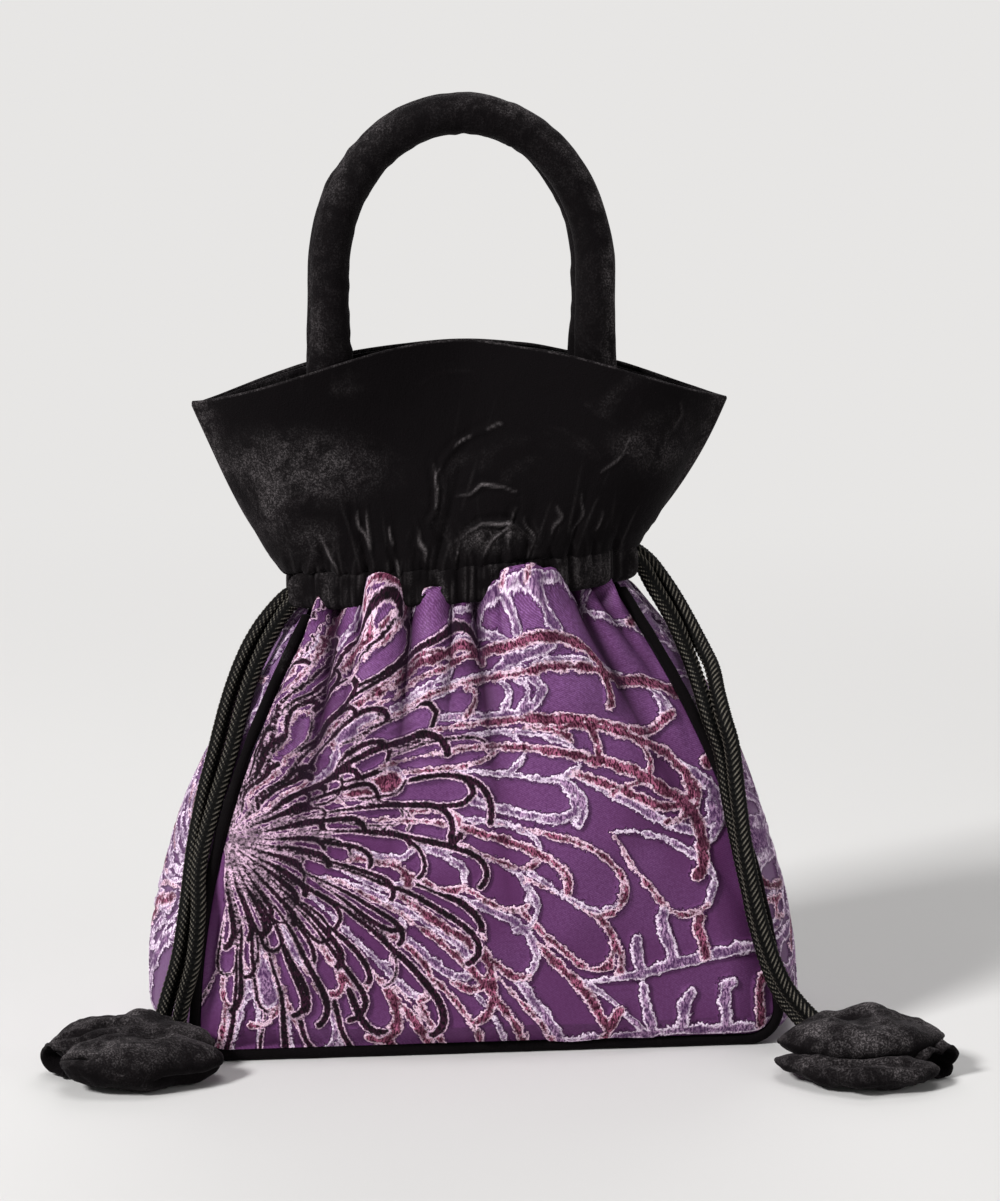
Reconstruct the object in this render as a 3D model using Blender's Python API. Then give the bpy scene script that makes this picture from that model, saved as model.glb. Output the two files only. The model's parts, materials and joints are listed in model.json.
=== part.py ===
"""Velvet kinchaku handbag: a filled drawstring pouch with a flared collar and two padded handles.

Metres, +Z up, the floor at Z = 0 and the front at -Y. The body is a piped front and back panel
on one gusset strip. Two drawstrings run right round the neck inside a split casing, one above
the other, and each leaves it with both ends on its own side, where a tassel of folded petals
holds them. The panels, the gusset, the casing and the lining are open surfaces given their
thickness by a Solidify modifier. The collar, its facing and the handles are sleeves between an
outer and an inner set of rings, and the filler cords and petals are lofts.
"""

import math

import bmesh
import bpy
from mathutils import Vector

MILLIMETRE = 0.001

# Clearance between pieces that touch
GAP = 0.0003

# Body: half sizes at the line of the piping, on the floor and at the neck
BODY_TOP = 0.1647
BASE_HALF_WIDTH = 0.1087
BASE_HALF_DEPTH = 0.048
NECK_HALF_WIDTH = 0.057
NECK_EDGE_DEPTH = 0.0105
WIDTH_POWER = 2.0
DEPTH_POWER = 1.7
CORNER_RADIUS = 0.012
FRONT_BELLY = 0.007
NECK_CROWN = 0.0175
GUSSET_BULGE = 0.014
GUSSET_NECK_BULGE = 0.0035
GUSSET_POWER = 3.5
SIDE_ROUNDNESS = 2.2
BOTTOM_FLATNESS = 8.0
PANEL_THICK = 0.0015
PANEL_PROUD = 0.0005
PIPING_RADIUS = 0.002
PIPING_BELOW_NECK = 0.0024

# Lining bag inside the body
LINING_THICK = 0.001
LINING_INSET = 0.0024
LINING_NECK_INSET = 0.0068
LINING_TURN_IN = 0.6

# Drawstrings and the casing that they run in
CORD_DIAMETER = 0.0058
CORD_PLAY = 0.0006
CASING_THICK = 0.0012
CASING_OVERHANG_WIDTH = 0.0063
CASING_OVERHANG_DEPTH = 0.0028
CASING_EXIT = 0.023
CASING_EDGE_ROUND = 0.001
CASING_BULGE = 0.0008
SIDE_SLACK = 0.001

# Angles in degrees round one half of the neck at which each drawstring's points lie
LOOP_ANGLES = (26, 42, 58, 74, 90, 106, 122, 138, 151, 161, 170)

# Collar above the casing, and the mouth that it opens into
RIM_HALF_WIDTH = 0.0997
COLLAR_SIDE_HEIGHT = 0.0558
RIM_CROWN = 0.022
RIM_CROWN_POWER = 1.2
COLLAR_FLARE_POWER = 0.75
COLLAR_BELLY = 0.003
COLLAR_THICK = 0.0012
FACING_THICK = 0.001
FACING_MEETS_COLLAR = 0.5
MOUTH_OPEN = 0.020
MOUTH_PINCH = 0.0036
MOUTH_SKEW = 1.5

# The filled bag leans and its neck sits lower on one side
LEAN = 0.0055
NECK_TILT = math.radians(4.0)
SET_STRAIGHT = 0.058

# Handles
HANDLE_RADIUS = 0.0072
HANDLE_SKIN = 0.001
HANDLE_HALF_SPAN = 0.0488
HANDLE_SPRING_ABOVE_RIM = 0.049
HANDLE_ARCH = 0.057
HANDLE_ROOT_BELOW_RIM = 0.007
HANDLE_ROOT_HALF_THICK = 0.003
HANDLE_ROOT_HALF_WIDTH = 0.0088
HANDLE_FLAT_LENGTH = 0.05
HANDLE_LEAN_POWER = 3.5

# Tassels of padded petals that lie on the floor
PETAL_LEAF_POWER = 1.4
PETAL_FULLNESS = 0.7
PETAL_FIRST_RING = 0.03
PETAL_LAST_RING = 0.97

# How finely each surface is divided, and its slope or its nearest point is felt for
PANEL_COLUMNS = 13
SIDE_ROWS = 8
ARC_ROWS = 2
GUSSET_COLUMNS = 7
COLLAR_COLUMNS = 11
COLLAR_ROWS = 5
HANDLE_SIDES = 12
HANDLE_RINGS = 23
HANDLE_LEG_RINGS = 5
HANDLE_FLAT_RINGS = 4
STRAND_POINTS = 18
PETAL_SIDES = 10
PETAL_RINGS = 8
ROUTE_STEPS = 12
FACING_SAMPLES = 100
HEIGHT_STEP = 0.001
RING_STEP = 0.01
SMOOTH_ANGLE = math.radians(50)
MERGE_DISTANCE = 0.00005

# Each drawstring's two free strands, from where they leave the casing down to the tassel
LEFT_FRONT_STRAND = (
    (-0.0610, -0.0086, 0.1658),
    (-0.0651, -0.0062, 0.1648),
    (-0.0690, -0.0050, 0.1623),
    (-0.0722, -0.0052, 0.1586),
    (-0.0778, -0.0081, 0.1502),
    (-0.0835, -0.0120, 0.1390),
    (-0.0885, -0.0180, 0.1260),
    (-0.0935, -0.0252, 0.1094),
    (-0.0991, -0.0310, 0.0940),
    (-0.1044, -0.0378, 0.0772),
    (-0.1061, -0.0424, 0.0674),
    (-0.1063, -0.0464, 0.0560),
    (-0.1083, -0.0498, 0.0390),
    (-0.1122, -0.0500, 0.0240),
    (-0.1155, -0.0493, 0.0095),
)
LEFT_BACK_STRAND = (
    (-0.0612, 0.0084, 0.1658),
    (-0.0666, 0.0050, 0.1650),
    (-0.0722, 0.0022, 0.1622),
    (-0.0808, -0.0020, 0.1530),
    (-0.0874, -0.0050, 0.1418),
    (-0.0934, -0.0105, 0.1270),
    (-0.0988, -0.0190, 0.1093),
    (-0.1032, -0.0242, 0.0945),
    (-0.1072, -0.0310, 0.0765),
    (-0.1102, -0.0389, 0.0570),
    (-0.1135, -0.0430, 0.0385),
    (-0.1180, -0.0450, 0.0230),
    (-0.1218, -0.0470, 0.0095),
)
RIGHT_FRONT_STRAND = (
    (0.0500, -0.0086, 0.1797),
    (0.0545, -0.0058, 0.1793),
    (0.0590, -0.0044, 0.1769),
    (0.0625, -0.0047, 0.1730),
    (0.0655, -0.0061, 0.1673),
    (0.0729, -0.0100, 0.1542),
    (0.0782, -0.0153, 0.1412),
    (0.0802, -0.0200, 0.1348),
    (0.0814, -0.0246, 0.1298),
    (0.0836, -0.0310, 0.1206),
    (0.0878, -0.0360, 0.1075),
    (0.0894, -0.0398, 0.0940),
    (0.0934, -0.0445, 0.0723),
    (0.0963, -0.0474, 0.0585),
    (0.0989, -0.0493, 0.0460),
    (0.1044, -0.0516, 0.0276),
    (0.1095, -0.0550, 0.0180),
    (0.1164, -0.0620, 0.0100),
)
RIGHT_BACK_STRAND = (
    (0.0500, 0.0086, 0.1796),
    (0.0550, 0.0058, 0.1799),
    (0.0602, 0.0032, 0.1786),
    (0.0646, 0.0009, 0.1754),
    (0.0686, -0.0012, 0.1706),
    (0.0755, -0.0046, 0.1600),
    (0.0836, -0.0129, 0.1442),
    (0.0863, -0.0205, 0.1372),
    (0.0870, -0.0284, 0.1298),
    (0.0883, -0.0362, 0.1216),
    (0.0906, -0.0402, 0.1120),
    (0.0920, -0.0450, 0.0963),
    (0.0946, -0.0507, 0.0731),
    (0.0999, -0.0555, 0.0469),
    (0.1064, -0.0582, 0.0290),
    (0.1122, -0.0613, 0.0200),
    (0.1210, -0.0674, 0.0110),
)

# Each petal's tip, middle and root, with its half width and half thickness, in millimetres
PETALS = {
    "left_upper_petal": ((-103, -56, 7.5), (-128, -62.6, 12.2), (-158, -58, 8.9), 15.5, 7.2),
    "left_lower_petal": ((-116, -78, 3.1), (-138, -76, 3.1), (-158, -66, 3.1), 10.5, 3.1),
    "left_tail_petal": ((-142, -52, 4.1), (-156, -52, 4.1), (-167, -52, 4.1), 8.5, 4.1),
    "right_upper_petal": ((101, -78, 9.5), (130, -84, 12.9), (160, -83, 10.6), 19.0, 7.6),
    "right_lower_petal": ((103.5, -74, 4.1), (127, -103, 4.1), (152, -104, 4.1), 12.5, 4.1),
    "right_tail_petal": ((143, -89, 4.2), (156, -88, 4.2), (166, -87, 4.2), 6.8, 4.2),
}

# Values that follow from those above
CASING_HEIGHT = 2 * CORD_DIAMETER + 3 * GAP + 2 * CASING_THICK
CASING_BOTTOM = BODY_TOP + GAP
CASING_TOP = CASING_BOTTOM + CASING_HEIGHT
COLLAR_BOTTOM = CASING_TOP + GAP
RIM_CORNER_Z = COLLAR_BOTTOM + COLLAR_SIDE_HEIGHT
HANDLE_SPRING_Z = RIM_CORNER_Z + HANDLE_SPRING_ABOVE_RIM
HANDLE_ROOT_Z = RIM_CORNER_Z - HANDLE_ROOT_BELOW_RIM
CASING_HALF_WIDTH = NECK_HALF_WIDTH + CASING_OVERHANG_WIDTH
CASING_HALF_DEPTH = NECK_EDGE_DEPTH + NECK_CROWN + CASING_OVERHANG_DEPTH
NECK_Z = CASING_BOTTOM + CASING_HEIGHT / 2
CHANNEL_INSET = CASING_THICK + CORD_PLAY + CORD_DIAMETER / 2
FACING_NECK_INSET = CASING_THICK + 2 * CORD_PLAY + CORD_DIAMETER
LEVEL_OFFSET = (CORD_DIAMETER + GAP) / 2
PANEL_INSET = PIPING_RADIUS + GAP
CORNER_Z = PIPING_RADIUS + CORNER_RADIUS


def clear_scene():
    for item in list(bpy.data.objects):
        bpy.data.objects.remove(item)


def smooth_step(value):
    value = min(max(value, 0.0), 1.0)
    return value * value * (3 - 2 * value)


def mix(first, second, share):
    return first + (second - first) * share


def lean_and_tilt(point):
    """Where a point of the upright bag lies once the bag leans and its neck dips to one side."""
    x, y, z = point
    settled = smooth_step(z / NECK_Z)
    straightened = 1 - smooth_step((z - NECK_Z) / SET_STRAIGHT)
    dip = math.tan(NECK_TILT) * x * settled * straightened
    return Vector((x - LEAN * settled, y, z + dip))


# Materials


def make_material(name, color, roughness, sheen=0.0):
    material = bpy.data.materials.new(name)
    material.use_nodes = True
    shader = material.node_tree.nodes["Principled BSDF"]
    shader.inputs["Base Color"].default_value = (*color, 1.0)
    shader.inputs["Roughness"].default_value = roughness
    shader.inputs["Metallic"].default_value = 0.0
    shader.inputs["Sheen Weight"].default_value = sheen
    material.diffuse_color = (*color, 1.0)
    return material


# Building blocks


def add_object(name, bm, material, smooth=True):
    bmesh.ops.recalc_face_normals(bm, faces=bm.faces)
    mesh = bpy.data.meshes.new(name)
    bm.to_mesh(mesh)
    bm.free()
    mesh.materials.append(material)
    if smooth:
        mesh.shade_smooth()
        mesh.set_sharp_from_angle(angle=SMOOTH_ANGLE)
    item = bpy.data.objects.new(name, mesh)
    bpy.context.scene.collection.objects.link(item)
    return item


def add_grid(bm, rows, ring=False, halved=False):
    """Quads between rows of points; a ring also joins each row's last point to its first.

    Halved quads are split along the same diagonal, so that surfaces laid close on each other match.
    """
    grid = [[bm.verts.new(point) for point in row] for row in rows]
    count = len(rows[0])
    for lower, upper in zip(grid, grid[1:]):
        for i in range(count if ring else count - 1):
            j = (i + 1) % count
            if halved:
                bm.faces.new((lower[i], lower[j], upper[j]))
                bm.faces.new((lower[i], upper[j], upper[i]))
            else:
                bm.faces.new((lower[i], lower[j], upper[j], upper[i]))
    return grid


def face_outward(bm, inside):
    """Turns an open surface so that its faces point away from a point inside the object."""
    bmesh.ops.recalc_face_normals(bm, faces=bm.faces)
    bm.faces.ensure_lookup_table()
    outward = sum(
        face.normal.dot(face.calc_center_median() - inside) * face.calc_area() for face in bm.faces
    )
    if outward < 0:
        bmesh.ops.reverse_faces(bm, faces=bm.faces)


def add_cloth(name, bm, thick, material, inside=None):
    """An open surface of cloth whose thickness lies on the inner side."""
    face_outward(bm, inside or Vector((0, 0, BODY_TOP / 2)))
    mesh = bpy.data.meshes.new(name)
    bm.to_mesh(mesh)
    bm.free()
    mesh.materials.append(material)
    mesh.shade_smooth()
    item = bpy.data.objects.new(name, mesh)
    bpy.context.scene.collection.objects.link(item)
    solidify = item.modifiers.new("Thickness", "SOLIDIFY")
    solidify.thickness = thick
    solidify.offset = -1
    solidify.use_even_offset = True
    return item


def cut_away(item, cutter):
    boolean = item.modifiers.new("Cut", "BOOLEAN")
    boolean.operation = "DIFFERENCE"
    boolean.solver = "EXACT"
    boolean.object = cutter


def add_cutter(name, low, high):
    """A box that only cuts, left out of renders and of the model."""
    bm = bmesh.new()
    bmesh.ops.create_cube(bm, size=1.0)
    size = Vector(high) - Vector(low)
    middle = (Vector(high) + Vector(low)) / 2
    for vertex in bm.verts:
        vertex.co = Vector(vertex.co[i] * size[i] + middle[i] for i in range(3))
    mesh = bpy.data.meshes.new(name)
    bm.to_mesh(mesh)
    bm.free()
    cutter = bpy.data.objects.new(name, mesh)
    bpy.context.scene.collection.objects.link(cutter)
    cutter.hide_render = True
    cutter.display_type = "WIRE"
    return cutter


def add_tube(name, points, radius, material, resolution):
    """A round tube with filled ends along a list of points."""
    curve = bpy.data.curves.new(name, "CURVE")
    curve.dimensions = "3D"
    curve.bevel_depth = radius
    curve.bevel_resolution = resolution
    curve.use_fill_caps = True
    spline = curve.splines.new("POLY")
    spline.points.add(len(points) - 1)
    for target, point in zip(spline.points, points):
        target.co = (*point, 1.0)
    curve.materials.append(material)
    item = bpy.data.objects.new(name, curve)
    bpy.context.scene.collection.objects.link(item)
    return item


def add_loft(name, rings, material):
    """A solid skinned over rings of points, closed by a face at each end."""
    bm = bmesh.new()
    grid = add_grid(bm, rings, ring=True)
    bm.faces.new(grid[0])
    bm.faces.new(grid[-1])
    return add_object(name, bm, material)


def add_sleeve(name, outer, inner, material):
    """A tube of cloth, open at both ends, between an outer and an inner set of rings."""
    bm = bmesh.new()
    outside = add_grid(bm, outer, ring=True, halved=True)
    inside = add_grid(bm, inner, ring=True, halved=True)
    for end in (0, -1):
        count = len(outside[end])
        for i in range(count):
            j = (i + 1) % count
            bm.faces.new((outside[end][i], outside[end][j], inside[end][j], inside[end][i]))
    return add_object(name, bm, material)


# Body outline


def half_width(z):
    share = min(max(z / BODY_TOP, 0.0), 1.0) ** WIDTH_POWER
    return mix(BASE_HALF_WIDTH, NECK_HALF_WIDTH, share)


def half_depth(z):
    share = min(max(z / BODY_TOP, 0.0), 1.0) ** DEPTH_POWER
    return mix(BASE_HALF_DEPTH, NECK_EDGE_DEPTH, share)


def steepness(profile, z):
    """How much longer a sideways inset is than the same inset square to the profile."""
    slope = (profile(z) - profile(z - HEIGHT_STEP)) / HEIGHT_STEP
    return math.hypot(1, slope)


def side_of_outline(inset):
    """One side of the body in front view, from the neck down to the middle of the corner."""
    points = []
    for row in range(SIDE_ROWS + 1):
        z = mix(BODY_TOP, CORNER_Z, row / SIDE_ROWS)
        points.append((half_width(z) - inset * steepness(half_width, z), z))
    return points + corner_of_outline(inset, 0.0, 45.0)[1:]


def corner_of_outline(inset, start, end):
    """Points round the bottom corner, between two angles in degrees below the horizontal."""
    centre = half_width(CORNER_Z) - CORNER_RADIUS
    points = []
    for row in range(ARC_ROWS + 1):
        angle = math.radians(mix(start, end, row / ARC_ROWS))
        radius = CORNER_RADIUS - inset
        points.append((centre + radius * math.cos(angle), CORNER_Z - radius * math.sin(angle)))
    return points


def bottom_of_outline(inset):
    """The bottom edge in front view, from the middle of the left corner to that of the right."""
    corner = corner_of_outline(inset, 45.0, 90.0)
    columns = PANEL_COLUMNS - 2 * ARC_ROWS
    reach = corner[-1][0]
    left = [(-x, z) for x, z in corner]
    flat = [(mix(-reach, reach, i / columns), corner[-1][1]) for i in range(1, columns)]
    return left + flat + corner[::-1]


def whole_outline(inset):
    """The piping's U in front view, from the neck on the left to the neck on the right."""
    side = side_of_outline(inset)
    left = [(-x, z) for x, z in side]
    return left + bottom_of_outline(inset)[1:-1] + side[::-1]


def piping_line():
    """The whole outline, with its two ends stopped just under the casing."""
    line = whole_outline(0.0)
    top = BODY_TOP - PIPING_BELOW_NECK
    return [(-half_width(top), top)] + line[1:-1] + [(half_width(top), top)]


# Body panels


def panel_rows(inset, proud, neck_inset=0.0):
    """The front panel as a blended patch between its neck edge and the U of its outline."""

    def on_edge(x, z):
        return Vector((x, -(half_depth(z) + proud), z))

    neck = smooth_neck(neck_inset)
    side = [on_edge(x - neck(z), z) for x, z in side_of_outline(inset)]
    right = [point + Vector((0, neck(point.z), 0)) for point in side]
    left = [Vector((-point.x, point.y, point.z)) for point in right]
    bottom = [on_edge(x, z) for x, z in bottom_of_outline(inset)]
    crown = NECK_CROWN
    top = []
    for i in range(PANEL_COLUMNS + 1):
        across = mix(-1.0, 1.0, i / PANEL_COLUMNS)
        edge = right[0]
        top.append(Vector((across * edge.x, edge.y - crown * (1 - across**2), edge.z)))
    rows = []
    last = len(right) - 1
    for j in range(last + 1):
        down = j / last
        row = []
        for i in range(PANEL_COLUMNS + 1):
            across = i / PANEL_COLUMNS
            between_ends = top[i].lerp(bottom[i], down)
            between_sides = left[j].lerp(right[j], across)
            corners = left[0].lerp(right[0], across).lerp(left[-1].lerp(right[-1], across), down)
            belly = FRONT_BELLY * math.sin(math.pi * down) * math.sin(math.pi * across)
            row.append(between_ends + between_sides - corners - Vector((0, belly, 0)))
        rows.append(row)
    return rows


def smooth_neck(neck_inset):
    """A further inset that grows from nothing low on the body to its full value at the neck."""

    def extra(z):
        start = BODY_TOP * LINING_TURN_IN
        return neck_inset * smooth_step((z - start) / (BODY_TOP - start))

    return extra


def gusset_rows(inset, margin, floor, neck_inset=0.0):
    """The strip round the sides and the bottom, which sags to the height floor underneath.

    The margin is how far the strip stops short of the line of the piping.
    """
    neck = smooth_neck(neck_inset)
    inner = whole_outline(inset)
    outer = whole_outline(inset - PIPING_RADIUS)
    drop = min(z for _, z in inner) - floor
    rows = []
    for (x, z), (outer_x, outer_z) in zip(inner, outer):
        depth = half_depth(z) - margin * steepness(half_depth, z) - neck(z)
        away = Vector((outer_x - x, 0, outer_z - z)).normalized()
        if z >= CORNER_Z:
            away = Vector((math.copysign(1, x), 0, 0))
        bulge, power = gusset_bulge(z, away, drop)
        start = Vector((x - math.copysign(neck(z), x), 0, z))
        row = []
        for i in range(GUSSET_COLUMNS + 1):
            across = mix(-1.0, 1.0, i / GUSSET_COLUMNS)
            swell = bulge * (1 - abs(across) ** power)
            row.append(start + away * swell + Vector((0, across * depth, 0)))
        rows.append(row)
    return rows


def gusset_bulge(z, away, drop):
    """How far the gusset swells past the piping, and how flat-topped the swelling is."""
    share = min(max(z / BODY_TOP, 0.0), 1.0) ** GUSSET_POWER
    side = mix(GUSSET_BULGE, GUSSET_NECK_BULGE, share)
    turn = smooth_step(abs(away.z))
    return mix(side, drop, turn), mix(SIDE_ROUNDNESS, BOTTOM_FLATNESS, turn)


def build_body(velvet, devore):
    for name, turned in (("front_panel", 1), ("back_panel", -1)):
        bm = bmesh.new()
        rows = panel_rows(PANEL_INSET, PANEL_PROUD)
        placed = [[lean_and_tilt((p.x, p.y * turned, p.z)) for p in row] for row in rows]
        add_grid(bm, placed)
        add_cloth(name, bm, PANEL_THICK, devore)

    bm = bmesh.new()
    rows = gusset_rows(-PANEL_PROUD, PANEL_INSET, 0.0)
    add_grid(bm, [[lean_and_tilt(p) for p in row] for row in rows])
    add_cloth("gusset", bm, PANEL_THICK, devore)

    for name, turned in (("front_piping", -1), ("back_piping", 1)):
        line = [lean_and_tilt((x, turned * half_depth(z), z)) for x, z in piping_line()]
        add_tube(name, line, PIPING_RADIUS, velvet, 2)


def build_lining(satin):
    """The lining bag: both panels and the gusset, set in by the cloth around it, in one piece."""
    bm = bmesh.new()
    rows = panel_rows(LINING_INSET, -LINING_INSET, LINING_NECK_INSET - LINING_INSET)
    for turned in (1, -1):
        add_grid(bm, [[lean_and_tilt((p.x, p.y * turned, p.z)) for p in row] for row in rows])
    floor = PANEL_THICK + 2 * GAP
    rows = gusset_rows(LINING_INSET, LINING_INSET, floor, LINING_NECK_INSET - LINING_INSET)
    add_grid(bm, [[lean_and_tilt(p) for p in row] for row in rows])
    bmesh.ops.remove_doubles(bm, verts=bm.verts, dist=MERGE_DISTANCE)
    add_cloth("lining_bag", bm, LINING_THICK, satin)


# Neck


def neck_ring(inset, z, side_slack=0.0):
    """Points of the oval neck at a height, set in from the casing's outer face."""
    wide = CASING_HALF_WIDTH - inset - side_slack
    deep = CASING_HALF_DEPTH - inset
    ring = []
    for i in range(4 * COLLAR_COLUMNS):
        angle = math.pi * i / (2 * COLLAR_COLUMNS)
        ring.append(Vector((wide * math.cos(angle), deep * math.sin(angle), z)))
    return ring


def build_casing(velvet):
    """Two channels of C section, whose ends stop short of each other at the cords' exits."""
    lip = FACING_NECK_INSET - GAP
    profile = (
        (lip, CASING_BOTTOM),
        (CASING_EDGE_ROUND, CASING_BOTTOM),
        (0.0, CASING_BOTTOM + CASING_EDGE_ROUND),
        (-CASING_BULGE, NECK_Z),
        (0.0, CASING_TOP - CASING_EDGE_ROUND),
        (CASING_EDGE_ROUND, CASING_TOP),
        (lip, CASING_TOP),
    )
    for name, side in (("front_casing", -1), ("back_casing", 1)):
        bm = bmesh.new()
        rows = [[lean_and_tilt(p) for p in neck_ring(inset, z)] for inset, z in profile]
        add_grid(bm, rows, ring=True)
        casing = add_cloth(name, bm, CASING_THICK, velvet, Vector((0, 0, NECK_Z)))
        far = -side * 2 * CASING_HALF_DEPTH
        near = side * CASING_EXIT / 2
        low = (-1, min(far, near), 0)
        high = (1, max(far, near), 1)
        cut_away(casing, add_cutter(name + "_cutter", low, high))


# Collar


def rim_height(across):
    return RIM_CORNER_Z + RIM_CROWN * math.cos(math.pi / 2 * across) ** RIM_CROWN_POWER


def mouth_depth(across):
    """Half the mouth's opening: pinched in the middle, widest well to each side of it."""
    reach = abs(across)
    return MOUTH_PINCH * (1 - reach) + MOUTH_OPEN * math.sin(math.pi * reach**MOUTH_SKEW)


def collar_point(across, up, front):
    """The collar's outer face: an oval at the neck, a flared lens at the rim."""
    turn = math.pi / 2 * across
    opened = smooth_step(up)
    wide = mix(CASING_HALF_WIDTH, RIM_HALF_WIDTH, up**COLLAR_FLARE_POWER)
    x = wide * mix(math.sin(turn), across, opened)
    y = mix(CASING_HALF_DEPTH * math.cos(turn), mouth_depth(across), opened)
    y += COLLAR_BELLY * math.sin(math.pi * up) * math.cos(turn)
    z = mix(COLLAR_BOTTOM, rim_height(across), up)
    return Vector((x, -y if front else y, z))


def collar_ring(up):
    front = [mix(-1.0, 1.0, i / (2 * COLLAR_COLUMNS)) for i in range(2 * COLLAR_COLUMNS)]
    ring = [collar_point(across, up, True) for across in front]
    return ring + [collar_point(-across, up, False) for across in front]


def ring_set_in(row, inset):
    """One of the collar's rows of rings, set in square to the leaning wall."""
    up = row / COLLAR_ROWS
    step = RING_STEP if row < COLLAR_ROWS else -RING_STEP
    return set_in(collar_ring(up), inset, collar_ring(up + step))


def set_in(ring, inset, beside=None):
    """A ring moved inwards in plan, so that it lies the inset away square to the surface.

    A ring just above or below it, where one is given, tells how far the surface leans there.
    """
    moved = []
    count = len(ring)
    for i, point in enumerate(ring):
        before = (point - ring[i - 1]).xy.normalized()
        after = (ring[(i + 1) % count] - point).xy.normalized()
        along = (before + after).normalized()
        inward = Vector((-along.y, along.x))
        square = inward.dot(Vector((-after.y, after.x)))
        climb = beside[i] - point if beside else Vector((0, 0, 1))
        lean = math.hypot(1, climb.xy.dot(inward) / climb.z)
        moved.append(point + (inward * inset * lean / square).to_3d())
    return moved


def build_collar(velvet):
    """Outer collar and its facing, each a front and a back piece that meet at the side seams."""
    walls = (
        ("collar", collar_rings(0.0), collar_rings(COLLAR_THICK)),
        ("facing", facing_rings(0.0), facing_rings(FACING_THICK)),
    )
    for name, outer, inner in walls:
        outer = [[lean_and_tilt(p) for p in ring] for ring in outer]
        inner = [[lean_and_tilt(p) for p in ring] for ring in inner]
        for prefix, side in (("front_", -1), ("back_", 1)):
            piece = add_sleeve(prefix + name, outer, inner, velvet)
            far = -side
            near = side * GAP / 2
            low = (-1, min(far, near), 0)
            high = (1, max(far, near), 1)
            cut_away(piece, add_cutter(prefix + name + "_cutter", low, high))


def collar_rings(inset):
    """The collar from the casing up to the rim, at an inset from its outer face."""
    return [ring_set_in(row, inset) for row in range(COLLAR_ROWS + 1)]


def facing_rings(inset):
    """The facing lines the collar and, behind the casing, is the inner wall of the channel."""
    rings = [neck_start(inset, z) for z in (CASING_BOTTOM, NECK_Z, CASING_TOP)]
    close_inset = COLLAR_THICK + GAP
    for row in range(1, COLLAR_ROWS + 1):
        apart = 1 - smooth_step(row / COLLAR_ROWS / FACING_MEETS_COLLAR)
        away = apart * (FACING_NECK_INSET - close_inset)
        rings.append(ring_set_in(row, close_inset + away + inset))
    return rings


def neck_start(inset, z):
    """The neck's oval inner wall, with its points in the collar's order."""
    base = [Vector((p.x, p.y, z)) for p in collar_ring(0.0)]
    narrower = 1 - SIDE_SLACK / CASING_HALF_WIDTH
    ring = set_in(base, FACING_NECK_INSET + inset)
    return [Vector((p.x * narrower, p.y, p.z)) for p in ring]


# Handles


def facing_depth(x, z):
    """How far the inner face of the facing lies from the middle plane, at one side and height."""
    up = (z - COLLAR_BOTTOM) / (rim_height(x / RIM_HALF_WIDTH) - COLLAR_BOTTOM)
    steps = range(FACING_SAMPLES + 1)
    samples = [collar_point(i / FACING_SAMPLES, up, True) for i in steps]
    nearest = min(samples, key=lambda point: abs(point.x - x))
    return -nearest.y - COLLAR_THICK - 2 * GAP - FACING_THICK


def handle_line():
    """The handle's centreline in front view, from one root over the arch to the other."""
    line = []
    for i in range(HANDLE_LEG_RINGS):
        up = i / HANDLE_LEG_RINGS
        line.append((-HANDLE_HALF_SPAN, mix(HANDLE_ROOT_Z, HANDLE_SPRING_Z, up)))
    arch_rings = HANDLE_RINGS - 2 * HANDLE_LEG_RINGS
    for i in range(arch_rings):
        angle = math.pi * (1 - i / (arch_rings - 1))
        x = HANDLE_HALF_SPAN * math.cos(angle)
        line.append((x, HANDLE_SPRING_Z + HANDLE_ARCH * math.sin(angle)))
    return line + [(-x, z) for x, z in reversed(line[:HANDLE_LEG_RINGS])]


def handle_rings(set_in_by, skipped):
    """Rings round the front handle, flattened towards the two roots that are sewn in.

    The skipped rings at each end leave room at the flat roots.
    """
    edges = (HANDLE_HALF_SPAN - HANDLE_ROOT_HALF_WIDTH, HANDLE_HALF_SPAN + HANDLE_ROOT_HALF_WIDTH)
    root_depth = min(facing_depth(x, HANDLE_ROOT_Z) for x in edges) - HANDLE_ROOT_HALF_THICK
    apex_depth = HANDLE_RADIUS + GAP / 2
    height = HANDLE_SPRING_Z + HANDLE_ARCH - HANDLE_ROOT_Z
    line = handle_line()
    rings = []
    for i, (x, z) in enumerate(line):
        if not skipped <= i < len(line) - skipped:
            continue
        ahead = line[min(i + 1, len(line) - 1)]
        behind = line[max(i - 1, 0)]
        along = Vector((ahead[0] - behind[0], 0, ahead[1] - behind[1])).normalized()
        sideways = Vector((-along.z, 0, along.x))
        climb = 1 - (z - HANDLE_ROOT_Z) / height
        depth = mix(apex_depth, root_depth, max(climb, 0.0) ** HANDLE_LEAN_POWER)
        round_share = smooth_step((z - HANDLE_ROOT_Z) / HANDLE_FLAT_LENGTH)
        half_thick = mix(HANDLE_ROOT_HALF_THICK, HANDLE_RADIUS, round_share) - set_in_by
        half_across = mix(HANDLE_ROOT_HALF_WIDTH, HANDLE_RADIUS, round_share) - set_in_by
        centre = Vector((x, -depth, z))
        ring = []
        for k in range(HANDLE_SIDES):
            angle = 2 * math.pi * k / HANDLE_SIDES
            offset = sideways * half_across * math.cos(angle)
            ring.append(centre + offset + Vector((0, half_thick * math.sin(angle), 0)))
        rings.append(ring)
    return rings


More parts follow.
